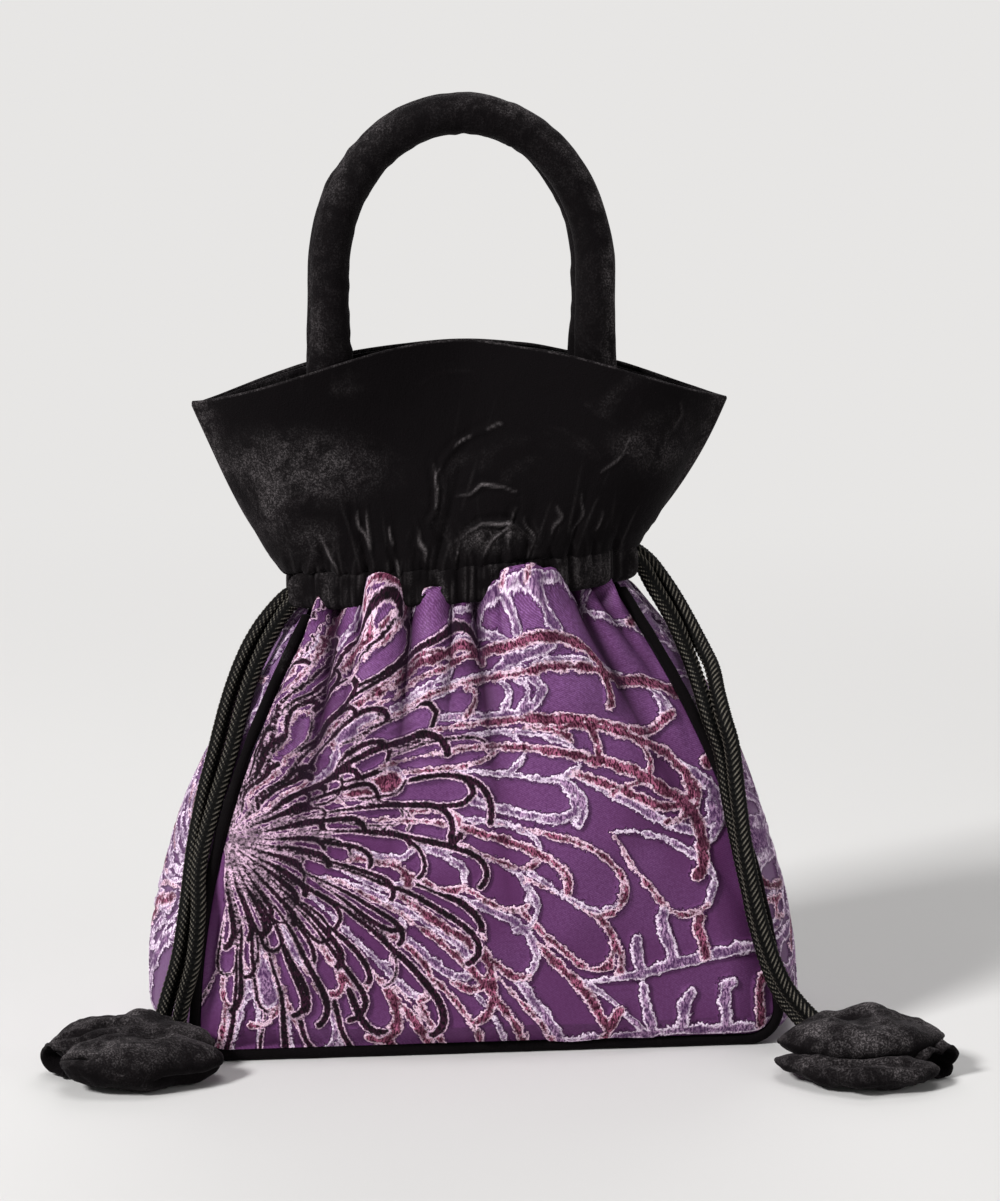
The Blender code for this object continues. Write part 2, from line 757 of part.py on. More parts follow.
def build_handles(velvet, filler):
    """Two velvet sleeves, each round a filler cord that stops above the flattened roots."""
    layers = ((0.0, 0), (HANDLE_SKIN, 0), (HANDLE_SKIN + GAP, HANDLE_FLAT_RINGS))
    for name, side in (("front_handle", 1), ("back_handle", -1)):
        placed = []
        for set_in_by, skipped in layers:
            rings = handle_rings(set_in_by, skipped)
            placed.append([[Vector((p.x - LEAN, p.y * side, p.z)) for p in r] for r in rings])
        add_sleeve(name, placed[0], placed[1], velvet)
        add_loft(name + "_core", placed[2], filler)


# Drawstrings


def smooth_route(route, count):
    """Evenly spread points on the smooth curve through a route's own points."""
    points = [Vector(point) for point in route]
    points = [2 * points[0] - points[1]] + points + [2 * points[-1] - points[-2]]
    dense = []
    for before, start, end, after in zip(points, points[1:], points[2:], points[3:]):
        for i in range(ROUTE_STEPS):
            t = i / ROUTE_STEPS
            bend = (2 * before - 5 * start + 4 * end - after) * t * t
            twist = (3 * start - before - 3 * end + after) * t * t * t
            dense.append(start + ((end - before) * t + bend + twist) / 2)
    dense.append(points[-2])
    return spread_evenly(dense, count)


def spread_evenly(dense, count):
    """The given number of points at equal distances along a finely divided line."""
    reached = [0.0]
    for first, second in zip(dense, dense[1:]):
        reached.append(reached[-1] + (second - first).length)
    spread = []
    segment = 0
    for i in range(count):
        wanted = reached[-1] * i / (count - 1)
        while segment < len(dense) - 2 and reached[segment + 1] < wanted:
            segment += 1
        share = (wanted - reached[segment]) / (reached[segment + 1] - reached[segment])
        spread.append(dense[segment].lerp(dense[segment + 1], share))
    return spread


def round_the_neck(level, turned):
    """A drawstring's way round the channel, from one side of its exit to the other."""
    wide = CASING_HALF_WIDTH - CHANNEL_INSET - SIDE_SLACK
    deep = CASING_HALF_DEPTH - CHANNEL_INSET
    angles = [180 + angle for angle in LOOP_ANGLES]
    angles += [360] + [180 - angle for angle in reversed(LOOP_ANGLES)]
    line = []
    for angle in angles:
        turn = math.radians(angle)
        x = turned * wide * math.cos(turn)
        line.append(lean_and_tilt((x, deep * math.sin(turn), NECK_Z + level)))
    return line


def build_cords(braid):
    """Two drawstrings, each once round the neck with both its ends in its own side's tassel."""
    cords = (
        ("left_cord", LEFT_FRONT_STRAND, LEFT_BACK_STRAND, -LEVEL_OFFSET, 1),
        ("right_cord", RIGHT_FRONT_STRAND, RIGHT_BACK_STRAND, LEVEL_OFFSET, -1),
    )
    for name, front, back, level, turned in cords:
        loop = round_the_neck(level, turned)
        down = smooth_route((loop[0],) + front, STRAND_POINTS)
        up = smooth_route((loop[-1],) + back, STRAND_POINTS)
        line = down[:0:-1] + loop + up[1:]
        add_tube(name, line, CORD_DIAMETER / 2, braid, 2)


def build_tassels(velvet):
    for name, (tip, middle, root, half_width, half_thick) in PETALS.items():
        axis = [Vector(point) * MILLIMETRE for point in (tip, middle, root)]
        rings = petal_rings(axis, half_width * MILLIMETRE, half_thick * MILLIMETRE)
        add_loft(name, rings, velvet)


def petal_rings(axis, half_width, half_thick):
    """Rings of a padded leaf along a bent axis, pointed at its tip and round at its root."""
    tip, middle, root = axis
    pull = 2 * middle - (tip + root) / 2
    rings = []
    for i in range(PETAL_RINGS):
        share = mix(PETAL_FIRST_RING, PETAL_LAST_RING, i / (PETAL_RINGS - 1))
        centre = tip * (1 - share) ** 2 + pull * 2 * share * (1 - share) + root * share**2
        along = (pull - tip).lerp(root - pull, share).normalized()
        sideways = along.cross(Vector((0, 0, 1))).normalized()
        upward = sideways.cross(along)
        full = math.sin(math.pi * share**PETAL_LEAF_POWER) ** PETAL_FULLNESS
        ring = []
        for k in range(PETAL_SIDES):
            angle = math.pi / 2 + 2 * math.pi * k / PETAL_SIDES
            across = sideways * half_width * full * math.cos(angle)
            ring.append(centre + across + upward * half_thick * full * math.sin(angle))
        rings.append(ring)
    return rings


def build():
    clear_scene()
    velvet = make_material("black_velvet", (0.006, 0.005, 0.007), 0.75, 0.5)
    devore = make_material("purple_devore", (0.11, 0.035, 0.17), 0.6, 0.2)
    satin = make_material("lining_satin", (0.03, 0.01, 0.05), 0.4)
    filler = make_material("cotton_filler", (0.75, 0.72, 0.66), 0.9)
    braid = make_material("black_braid", (0.012, 0.012, 0.011), 0.6)
    build_body(velvet, devore)
    build_lining(satin)
    build_casing(velvet)
    build_collar(velvet)
    build_handles(velvet, filler)
    build_cords(braid)
    build_tassels(velvet)


build()
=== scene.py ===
import json
import math

import bpy
import numpy as np
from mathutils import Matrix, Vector

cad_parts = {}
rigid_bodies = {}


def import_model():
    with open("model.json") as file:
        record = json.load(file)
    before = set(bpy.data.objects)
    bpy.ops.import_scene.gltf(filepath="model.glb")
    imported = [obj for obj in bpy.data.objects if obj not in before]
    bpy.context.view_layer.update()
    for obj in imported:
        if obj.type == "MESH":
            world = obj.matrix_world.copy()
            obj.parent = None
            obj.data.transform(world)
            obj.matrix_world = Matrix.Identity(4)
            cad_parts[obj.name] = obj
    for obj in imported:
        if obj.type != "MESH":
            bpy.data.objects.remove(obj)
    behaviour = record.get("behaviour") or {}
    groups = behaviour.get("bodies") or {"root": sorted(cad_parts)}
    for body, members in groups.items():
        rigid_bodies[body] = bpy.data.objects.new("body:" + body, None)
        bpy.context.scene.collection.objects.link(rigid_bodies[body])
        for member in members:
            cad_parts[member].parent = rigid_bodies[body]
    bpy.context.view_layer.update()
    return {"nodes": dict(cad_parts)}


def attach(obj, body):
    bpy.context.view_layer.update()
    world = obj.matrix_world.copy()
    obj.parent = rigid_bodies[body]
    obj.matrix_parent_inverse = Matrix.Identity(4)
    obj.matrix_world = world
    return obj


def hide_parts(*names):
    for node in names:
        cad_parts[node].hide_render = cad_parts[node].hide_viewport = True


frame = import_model()

# The bag's driving sizes in metres, as the CAD has them
GAP = 0.0003
BODY_TOP = 0.1647
BASE_HALF_WIDTH = 0.1087
BASE_HALF_DEPTH = 0.048
NECK_HALF_WIDTH = 0.057
NECK_EDGE_DEPTH = 0.0105
WIDTH_POWER = 2.0
DEPTH_POWER = 1.7
CORNER_RADIUS = 0.012
FRONT_BELLY = 0.007
NECK_CROWN = 0.0175
GUSSET_BULGE = 0.014
GUSSET_NECK_BULGE = 0.0035
GUSSET_POWER = 3.5
SIDE_ROUNDNESS = 2.2
BOTTOM_FLATNESS = 8.0
PANEL_PROUD = 0.0005
PIPING_RADIUS = 0.002
LINING_INSET = 0.0024
LINING_NECK_INSET = 0.0068
LINING_TURN_IN = 0.6
LINING_FLOOR = 0.0021
CORD_DIAMETER = 0.0058
CORD_PLAY = 0.0006
CASING_THICK = 0.0012
CASING_HALF_WIDTH = 0.0633
CASING_HALF_DEPTH = 0.0308
CASING_HEIGHT = 2 * CORD_DIAMETER + 3 * GAP + 2 * CASING_THICK
CASING_BOTTOM = BODY_TOP + GAP
COLLAR_BOTTOM = CASING_BOTTOM + CASING_HEIGHT + GAP
NECK_Z = CASING_BOTTOM + CASING_HEIGHT / 2
SIDE_SLACK = 0.001
CORNER_Z = PIPING_RADIUS + CORNER_RADIUS
RIM_HALF_WIDTH = 0.0997
RIM_CORNER_Z = 0.236
RIM_CROWN = 0.022
RIM_CROWN_POWER = 1.2
COLLAR_FLARE_POWER = 0.64
COLLAR_BELLY = 0.003
COLLAR_THICK = 0.0012
FACING_THICK = 0.001
FACING_NECK_INSET = CASING_THICK + 2 * CORD_PLAY + CORD_DIAMETER
MOUTH_OPEN = 0.020
MOUTH_PINCH = 0.0036
MOUTH_SKEW = 1.5
LEAN = 0.0055
NECK_TILT = math.radians(4.0)
SET_STRAIGHT = 0.058
HANDLE_RADIUS = 0.0072
HANDLE_HALF_SPAN = 0.0488
HANDLE_SPRING_Z = 0.285
HANDLE_ARCH = 0.057
HANDLE_ROOT_Z = 0.229
HANDLE_ROOT_DEPTH = 0.0105
HANDLE_ROOT_HALF_THICK = 0.003
HANDLE_ROOT_HALF_WIDTH = 0.0088
HANDLE_FLAT_LENGTH = 0.05
HANDLE_LEAN_POWER = 3.5

# Each drawstring's free strands, from where they leave the casing down to the tassel
STRANDS = {
    "left_cord_front_strand": (
        (-0.0573, -0.0114, 0.1658), (-0.0610, -0.0086, 0.1658), (-0.0651, -0.0062, 0.1648),
        (-0.0690, -0.0050, 0.1623), (-0.0722, -0.0052, 0.1586), (-0.0778, -0.0081, 0.1502),
        (-0.0835, -0.0120, 0.1390), (-0.0885, -0.0180, 0.1260), (-0.0935, -0.0252, 0.1094),
        (-0.0991, -0.0310, 0.0940), (-0.1044, -0.0378, 0.0772), (-0.1061, -0.0424, 0.0674),
        (-0.1063, -0.0464, 0.0560), (-0.1083, -0.0498, 0.0390), (-0.1122, -0.0500, 0.0240),
        (-0.1155, -0.0493, 0.0095),
    ),
    "left_cord_back_strand": (
        (-0.0573, 0.0114, 0.1658), (-0.0612, 0.0084, 0.1658), (-0.0666, 0.0050, 0.1650),
        (-0.0722, 0.0022, 0.1622), (-0.0808, -0.0020, 0.1530), (-0.0874, -0.0050, 0.1418),
        (-0.0934, -0.0105, 0.1270), (-0.0988, -0.0190, 0.1093), (-0.1032, -0.0242, 0.0945),
        (-0.1072, -0.0310, 0.0765), (-0.1102, -0.0389, 0.0570), (-0.1135, -0.0430, 0.0385),
        (-0.1180, -0.0450, 0.0230), (-0.1218, -0.0470, 0.0095),
    ),
    "right_cord_front_strand": (
        (0.0463, -0.0114, 0.1791), (0.0500, -0.0086, 0.1797), (0.0545, -0.0058, 0.1793),
        (0.0590, -0.0044, 0.1769), (0.0625, -0.0047, 0.1730), (0.0655, -0.0061, 0.1673),
        (0.0729, -0.0100, 0.1542), (0.0782, -0.0153, 0.1412), (0.0802, -0.0200, 0.1348),
        (0.0814, -0.0246, 0.1298), (0.0836, -0.0310, 0.1206), (0.0878, -0.0360, 0.1075),
        (0.0894, -0.0398, 0.0940), (0.0934, -0.0445, 0.0723), (0.0963, -0.0474, 0.0585),
        (0.0989, -0.0493, 0.0460), (0.1044, -0.0516, 0.0276), (0.1095, -0.0550, 0.0180),
        (0.1164, -0.0620, 0.0100),
    ),
    "right_cord_back_strand": (
        (0.0463, 0.0114, 0.1791), (0.0500, 0.0086, 0.1796), (0.0550, 0.0058, 0.1799),
        (0.0602, 0.0032, 0.1786), (0.0646, 0.0009, 0.1754), (0.0686, -0.0012, 0.1706),
        (0.0755, -0.0046, 0.1600), (0.0836, -0.0129, 0.1442), (0.0863, -0.0205, 0.1372),
        (0.0870, -0.0284, 0.1298), (0.0883, -0.0362, 0.1216), (0.0906, -0.0402, 0.1120),
        (0.0920, -0.0450, 0.0963), (0.0946, -0.0507, 0.0731), (0.0999, -0.0555, 0.0469),
        (0.1064, -0.0582, 0.0290), (0.1122, -0.0613, 0.0200), (0.1210, -0.0674, 0.0110),
    ),
}

# Where the drawstrings' loops turn round the neck, in degrees from the exit
LOOP_TURNS = np.array([26, 42, 58, 74, 90, 106, 122, 138, 151, 161, 170.0])

# Camera of the photograph's viewing angle
CAMERA_PLACE = (-0.1249, -1.2732, 0.3866)
CAMERA_TARGET = (0.0089, 0.0, 0.1608)
CAMERA_LENS = 103.9
SENSOR_WIDTH = 36.0

# Room, and each lamp's place, watts and size
FLOOR_COLOR = (0.70, 0.69, 0.68)
FLOOR_RADIUS = 6.0
FLOOR_FADE = (0.45, 1.3)
BACKGROUND_COLOR = (0.80, 0.79, 0.78)
SKY_COLOR = (0.86, 0.86, 0.87)
SKY_LIGHT = 0.14
LAMP_TARGET = (0, 0, 0.15)
LAMPS = {
    "key": ((-2.9, -1.9, 2.6), 190, 0.8),
    "fill": ((2.6, -2.4, 1.2), 22, 2.2),
    "top": ((0.2, 0.2, 3.6), 38, 2.0),
    "rear": ((0.6, 3.0, 2.2), 40, 2.2),
}

# Colours of the velvet, its grey for crushed nap and painted sheen and its crease colour a painted
# highlight, and of the devore's ground when its dye is deep and when it is pale
VELVET_DARK = (0.0030, 0.0022, 0.0026)
VELVET_NAP_AND_SHEEN_GREY = (0.185, 0.165, 0.17)
VELVET_CREASE_HIGHLIGHT = (0.19, 0.17, 0.175)
DEEP_GROUND = (0.096, 0.024, 0.096)
DEEP_THREAD = (0.29, 0.125, 0.34)
PALE_GROUND = (0.20, 0.115, 0.225)
PALE_THREAD = (0.36, 0.25, 0.42)
# Painted shade that the devore takes in the hollows of its folds
GROUND_SHADE_IN_FOLDS = (0.020, 0.005, 0.020)

# Dark, light and frayed edge of the pile in each shade, the edge's colour a painted highlight, and how
# wide the fray is in mm
SHADES = ("black", "rose", "haze")
PILE_COLORS = {
    "haze": ((0.085, 0.030, 0.105), (0.60, 0.36, 0.60), (1.0, 0.82, 1.0)),
    "rose": ((0.030, 0.002, 0.012), (0.52, 0.15, 0.27), (1.0, 0.70, 0.86)),
    "black": ((0.0024, 0.0006, 0.0022), (0.055, 0.012, 0.036), (0.95, 0.64, 0.84)),
}
FRINGE_WIDTHS = {"black": 0.62, "rose": 0.95, "haze": 1.05}

# How finely the meshes are divided: rows and columns, or rings and sides. Those of the front, 1,
# are finer than those of the back, -1
PANEL_GRIDS = {1: (250, 320), -1: (190, 245)}
COLLAR_GRIDS = {1: (96, 320), -1: (70, 220)}
CASING_COLUMNS = {1: 340, -1: 260}
CASING_ROWS = 34
GUSSET_GRID = (450, 100)
LINING_PANEL_GRID = (44, 50)
LINING_GUSSET_GRID = (111, 24)
FACING_GRID = (40, 120)
FACING_LOW_ROWS = 8
RIM_ROWS = 6
HANDLE_GRID = (300, 52)
LEAF_GRID = (84, 76)
PIPING_STEP = 0.0012
PIPING_SIDES = 12
CORD_MESH = {"sides": 24, "step": 0.0004}
LOOP_MESH = {"sides": 14, "step": 0.0010}
ROUTE_DIVISIONS = 24
OUTLINE_POINTS = 400
PIPING_POINTS = 200
HANDLE_ARCH_POINTS = 400
HANDLE_LEG_POINTS = 120
MOUTH_LIP_ROWS = 3
CAP_TURNS = (0.5, 1.0, 1.35, 1.56)
PETAL_POINTS = 18
CURLED_POINTS = 20
RUNG_POINTS = 9
BORDER_POINTS = 40
HOOK_STEPS = 12

# Random values along each side of the block that a noise repeats
NOISE_CELLS = 32

# The flower, in mm of cloth
HEARTS = {1: (-95.0, 84.0), -1: (78.0, 70.0)}
SWIRL = 0.24
SWIRL_POWER = 1.4
PALE_SHADES = (0, 1, 4)
LINE_OVERLAP = 0.2
PETAL_HALF_WIDTH = 1.5
PETAL_WIDENING = 0.07
PETAL_PITCH = 0.95
PETAL_OVERLAP = 1.26
CURLED_SHARE = 0.45
CURLED_TIP = 50
RUNG_TIP = 100
RUNG_ANGLE = 0.45
RUNG_SHARE = 0.6
RUNG_PLACES = (0.38, 0.55, 0.72, 0.86)

# Each ring of petals, from the outside in: reach of its tips, length, shares of the three shades
# for its lines, the share of petals that are filled with pile, and the share left out
PETAL_RINGS = (
    (250, 80, (0, 2, 5), 0, 0.8), (204, 74, (0, 3, 4), 0, 0.4), (158, 64, (0, 4, 4), 0, 0.15),
    (122, 52, (0, 5, 4), 0, 0), (94, 42, (4, 4, 3), 0.04, 0), (70, 34, (7, 3, 2), 0.08, 0),
    (50, 27, (8, 2, 1), 0.1, 0.15), (34, 20, (9, 2, 0), 0.1, 0.25),
)

# Curled lines: inner and outer reach, how many, half width, shade, part of the fan from and to,
# and how far and how long their hooks turn
CURLED_LINES = (
    (62, 190, 4, 2.1, "rose", 0.48, 0.66, 2.4, 40), (40, 128, 7, 2, "rose", 0.25, 0.95, 2.2, 20),
    (9, 112, 14, 1.7, "black", 0, 1, 2.2, 20), (4, 66, 22, 1.5, "black", 0, 1, 1.7, 12),
    (2, 36, 24, 1.5, "black", 0, 1, 1.4, 8),
)

# Body: shares of the outline taken by its sides and by the flat of its bottom, then its cloth
SIDE_SHARE = 0.8
FLAT_SHARE = 9 / 13
PILE_HEIGHT = 0.0011
PIPING_BELOW_NECK = 0.0024
PANEL_WAVES = ((0.036, 7, 0.0024), (0.015, 17, 0.0010))
GUSSET_WAVES = ((0.04, 51, 0.0016), (0.016, 52, 0.0006))
GATHER_FULLNESS = 1.6
GATHER_BILLOW = 0.0072
GATHER_DEEPENING = 1.4
GATHER_REACH = 52
DEEPEST_HOLLOW = 0.0024
RIPPLE_HEIGHT = 0.0012
RIPPLE_REACH = 36
BUCKLE_HEIGHT = 0.0028
SIDE_EDGE_SHARE = 0.035
LOW_EDGE_SHARE = 0.03
GUSSET_EDGE_SHARE = 0.09

# Puffs of the panel over its seam: share of the panel's height that rises, and that bulges as a
# pillow below, then how far they stand out, stay clear of the casing and roll back and down
PUFF_SHARE = 0.075
PILLOW_SHARE = 2.6 * PUFF_SHARE
PILLOW_DEPTH = 0.0022
PUFF_TALLEST = 0.0125
PUFF_CLEARANCE = 0.0018
PUFF_ROUNDNESS = 0.28
ROLL_START = 0.86
ROLL_BACK = 0.0034
ROLL_DOWN = 0.0012

# Where each panel is buckled as well as gathered: across, up and half sizes in mm
BUCKLED = {1: (-46, 116, 32, 28), -1: (30, 122, 40, 26)}

# Gathers: place across in mm, depth, width and length in mm, and how far each leans. Puffs of
# cloth between them: place across, half width and height in mm
FRONT_CREASES = (
    (-60, 3, 3, 40, -0.35), (-46.5, 7, 4.2, 72, -0.24), (-36.5, 3.6, 2.6, 48, -0.3),
    (-20.5, 6.4, 4, 64, -0.16), (-6, 4.4, 3, 44, -0.1), (2, 7, 4, 66, 0.06), (10, 1.6, 2.4, 22, 0.1),
    (38.5, 7.2, 4.4, 70, 0.5), (46, 4.4, 3.2, 56, 0.72), (57, 3, 3, 34, 0.6),
)
FRONT_PUFFS = (
    (-55, 9, 5.5), (-30, 11, 12), (-12, 9.5, 7.3), (3, 5.5, 4), (17, 13.5, 12.6), (27, 9.5, 9.8),
    (-10, 52, 3), (51, 9, 2),
)
BACK_CREASES = (
    (-51, 5, 3.8, 60, -0.3), (-33, 5.6, 3.8, 56, -0.25), (-15, 6.6, 4, 72, -0.1), (-2, 3.6, 3.2, 40, 0),
    (15, 6.6, 4, 68, 0.16), (26, 2.4, 2.6, 32, 0.24), (42, 6.4, 4, 70, 0.4), (56, 3, 3, 34, 0.5),
)
BACK_PUFFS = (
    (-42, 10, 6), (-24, 11, 10), (-8, 7, 5), (5, 9, 8.5), (30, 12, 9), (50, 9, 5), (0, 58, 2.6),
)
GUSSET_CREASES = ((-4, 2.2, 2, 30, -0.1), (5, 2.6, 2, 42, 0.12))
COLLAR_CREASES = (
    (-60, 1.2, 1.6, 9, -0.1), (-52, 2.2, 1.8, 13, -0.15), (-44, 1.4, 1.4, 9, 0), (-37, 3, 1.8, 26, -0.22),
    (-27.5, 2.2, 1.6, 13, 0.05), (-20, 1.4, 1.4, 8, 0.1), (-12.5, 3.2, 1.8, 36, 0.3),
    (-4, 1.8, 1.6, 11, -0.1), (3, 2.6, 1.6, 15, -0.25), (11, 1.8, 1.6, 12, 0.3), (20.5, 2.8, 1.8, 17, 0.2),
    (30, 1.8, 1.5, 10, -0.1), (37, 2.6, 1.7, 24, 0.3), (46, 1.6, 1.6, 10, 0.1), (54, 2, 1.8, 14, 0.3),
)
BACK_COLLAR_CREASES = [(2 - place * 0.96, *rest, -lean) for place, *rest, lean in COLLAR_CREASES]

# Casing and collar
CASING_EDGE = 0.0030
CASING_LIP = 0.0074
CASING_END = 0.822
CASING_BULGE = 0.0020
CASING_FLARE = 0.0034
CASING_TAPER = 0.055
CASING_MOUTH_SHARE = 0.10
CASING_MOUTH_DROP = 0.0008
CASING_FACE = 0.003
CASING_CREASE_LIGHT = 0.22
COLLAR_SEAM_IN = 0.0010
COLLAR_FOOT_SWELL = 0.0022
COLLAR_FOOT_REACH = 0.0024
PUCKER_HEIGHT = 0.0007
SEAM_PUCKER_HEIGHT = 0.0005
COLLAR_SWAY = 0.0014
COLLAR_GRAIN = 0.00035
RIM_SWAY = 0.0008
RIM_RISE = 0.0006
NECK_PLEATS = {"start": -60, "end": 60, "pitch": 4.6, "depth": 1.0, "length": 6.0}

# Crumples of the collar: height and width in mm, and the points across and up from its foot
COLLAR_CRUMPLES = (
    (0.8, 0.9, (-43, 25), (-42, 18), (-38, 12), (-36, 3)), (0.7, 0.8, (-36, 24), (-37, 15), (-36, 2)),
    (0.9, 0.8, (-27, 15), (-27.5, 7), (-27, 0)), (0.9, 0.9, (-13, 37), (-12, 27), (-14, 19), (-12, 10)),
    (0.8, 1.1, (-12.6, 32), (-6, 41), (2, 46), (11, 49)), (0.8, 0.9, (-5, 26), (6, 27), (18, 26)),
    (1, 0.9, (-3, 9), (4, 14), (12, 14), (19, 10), (24, 5)),
    (0.9, 0.8, (5, 1), (9, 8), (14, 14), (17, 19)), (0.7, 0.8, (12, 14), (16, 8), (15, 1)),
    (0.4, 0.8, (34, 18), (31, 10), (28, 1)), (0.3, 0.8, (43, 22), (40, 14), (39, 2)),
    (0.35, 0.8, (50, 31), (56, 37), (60, 44)), (0.4, 0.8, (54, 40), (61, 36), (66, 37)),
    (0.3, 0.8, (75, 46), (80, 52), (81, 57)), (0.4, 0.9, (-82, 34), (-70, 30), (-58, 31), (-50, 26)),
    (0.7, 0.8, (-54, 14), (-51, 7), (-49, 0)), (0.7, 0.8, (-20, 18), (-18, 9), (-15, 0)),
    (0.6, 0.8, (-8, 15), (-5, 8), (-5, 0)), (0.5, 0.8, (22, 15), (23, 9), (21, 0)),
    (0.3, 0.8, (50, 15), (48, 8), (49, 0)),
)

# Crushed nap on the collar, partly painted sheen: middle across and up and half sizes in mm, and strength
COLLAR_PATCHES = (
    (-62, 36, 26, 10, 0.46), (-72, 26, 8, 14, 0.42), (-58, 10, 10, 7, 0.22), (8, 9, 10, 4.5, 0.5),
    (74, 40, 12, 12, 0.22), (60, 42, 8, 5, 0.2),
)
BACK_COLLAR_PATCHES = ((40, 34, 26, 14, 0.6), (-30, 8, 18, 7, 0.4), (-66, 40, 18, 12, 0.4))

# Handle: how high its dents and wrinkles stand, and how deep its seam lies
HANDLE_RELIEF = 0.00045
HANDLE_SEAM = 0.0005

# Braid: ribs round the cord, how far its chevrons slant, and a stitch's length
BRAID_RIBS = 2
BRAID_SLANT = 2.1
BRAID_PITCH = 0.0021
BRAID_CORE = CORD_DIAMETER / 2 - 0.0005
BRAID_RELIEF = 0.0008

# Each leaf: tip, middle and root in mm, half width and thickness, bluntness of its ends, whether it
# ends in a hollow mouth, its slits (angle round the leaf in degrees, width, first and last share of
# its length, depth) and its dimples (share of its length, place across, size and depth in mm)
LEAVES = {
    "left_upper_leaf": (
        (-102, -54, 9.0), (-131, -58, 11.8), (-160, -58, 11.4), 15.5, 9.6, 0.44, False,
        ((62, 0.09, 0.1, 0.8, 0.14), (118, 0.12, 0.45, 1.1, 0.2)),
        ((0.30, -2, 8, 1.4), (0.60, 5, 7, 1.8), (0.80, -6, 6, 1.6)),
    ),
    "left_lower_leaf": (
        (-100, -66, 7.4), (-129, -76, 9.4), (-155, -74, 9.6), 13.5, 9.4, 0.34, False,
        ((140, 0.15, 0.74, 1.3, 0.4), (75, 0.12, 0.2, 0.8, 0.12), (205, 0.2, -0.1, 0.5, 0.18)),
        ((0.45, 4, 8, 1.4), (0.75, -3, 6, 1.2)),
    ),
    "left_tail_leaf": (
        (-136, -54, 6.4), (-149, -58, 7.0), (-158, -63, 6.6), 9.5, 6.6, 0.5, True,
        ((10, 0.2, 0.1, 0.9, 0.3), (100, 0.2, 0.2, 1.2, 0.4), (220, 0.3, 0.5, 1.3, 0.3)),
        (),
    ),
    "right_upper_leaf": (
        (102, -80, 11.0), (131, -86, 14.0), (162, -84, 12.5), 19.0, 9.6, 0.56, False,
        ((194, 0.13, -0.1, 0.62, 0.5), (100, 0.10, 0.3, 0.85, 0.16), (166, 0.12, 0.5, 1.1, 0.3)),
        ((0.50, 2, 9, 3.2), (0.24, -6, 7, 1.2), (0.80, 6, 7, 2.0)),
    ),
    "right_lower_leaf": (
        (100, -86, 6.2), (127, -103, 6.2), (156, -102, 6.0), 13.0, 6.2, 0.5, False,
        ((186, 0.2, 0.05, 0.95, 0.32), (60, 0.14, 0.2, 0.9, 0.2)),
        ((0.5, 3, 8, 1.4),),
    ),
    "right_tail_leaf": (
        (136, -86, 6.2), (149, -90, 7.0), (157, -98, 6.6), 9.5, 6.4, 0.5, True,
        ((100, 0.2, 0.3, 1.2, 0.4), (200, 0.3, 0.5, 1.3, 0.3)),
        (),
    ),
}
LEAF_WAVES = ((0.0105, 0, 0.0015), (0.0048, 1, 0.0009), (0.0022, 4, 0.00035))

# How far through its swelling a hollow leaf ends
HOLLOW_END = 0.72

# How a hollow leaf's mouth rolls in: size beside its rim, and depth in mm
MOUTH_ROLL = (
    (1.04, -0.5), (1.02, -1.1), (0.93, -1.3), (0.84, -0.6), (0.76, 1), (0.66, 4), (0.4, 7), (0.05, 8),
)


# Numbers and lines


def mix(first, second, share):
    return first + (second - first) * share


def smooth_step(value):
    value = np.clip(value, 0.0, 1.0)
    return value * value * (3 - 2 * value)


def bell(away, power=2):
    """1 in the middle, falling softly to 0 as the distance passes 1."""
    return np.exp(-(np.abs(away) ** power))


def unit(vectors):
    return vectors / np.maximum(np.linalg.norm(vectors, axis=-1, keepdims=True), 1e-12)


def round_turns(sides):
    return np.linspace(0, 2 * math.pi, sides, endpoint=False)


def lean_and_tilt(points):
    """Where points of the upright bag lie once the bag leans and its neck dips to one side."""
    points = np.asarray(points, float)
    x, y, z = points[..., 0], points[..., 1], points[..., 2]
    settled = smooth_step(z / NECK_Z)
    straightened = 1 - smooth_step((z - NECK_Z) / SET_STRAIGHT)
    dip = math.tan(NECK_TILT) * x * settled * straightened
    return np.stack([x - LEAN * settled, y, z + dip], -1)


def lattice_noise(points, size, seed):
    """Smooth values from -1 to 1 that change over a distance of about the given size."""
    table = np.random.default_rng(seed).uniform(-1, 1, (NOISE_CELLS,) * 3)
    scaled = np.asarray(points, float) / size
    low = np.floor(scaled).astype(int)
    share = smooth_step(scaled - low)
    total = np.zeros(scaled.shape[:-1])
    for corner in np.ndindex(2, 2, 2):
        weight = np.ones(scaled.shape[:-1])
        for axis in range(3):
            part = share[..., axis]
            weight = weight * (part if corner[axis] else 1 - part)
        index = tuple((low[..., axis] + corner[axis]) % NOISE_CELLS for axis in range(3))
        total += weight * table[index]
    return total


def waves(points, *layers):
    """Noise laid over noise: each layer gives its size, its seed and how much it counts."""
    return sum(lattice_noise(points, size, seed) * amount for size, seed, amount in layers)


def lengths_along(line):
    return np.concatenate([[0], np.linalg.norm(np.diff(line, axis=0), axis=1).cumsum()])


def even_line(dense, step=None, count=None):
    """Points at equal distances along a finely divided line, and its length."""
    reached = lengths_along(dense)
    count = count or int(reached[-1] / step) + 1
    even = np.linspace(0, reached[-1], count)
    return np.stack([np.interp(even, reached, dense[:, axis]) for axis in range(3)], -1), reached[-1]


def smooth_line(route, step):
    """Points a given step apart on the smooth curve through a route's own points."""
    points = np.asarray(route, float)
    points = np.concatenate([[2 * points[0] - points[1]], points, [2 * points[-1] - points[-2]]])
    share = np.linspace(0, 1, ROUTE_DIVISIONS, endpoint=False)[:, None]
    dense = []
    for before, start, end, after in zip(points, points[1:], points[2:], points[3:]):
        bend = (2 * before - 5 * start + 4 * end - after) * share**2
        twist = (3 * start - before - 3 * end + after) * share**3
        dense.append(start + ((end - before) * share + bend + twist) / 2)
    return even_line(np.concatenate(dense + [points[-2:-1]]), step)


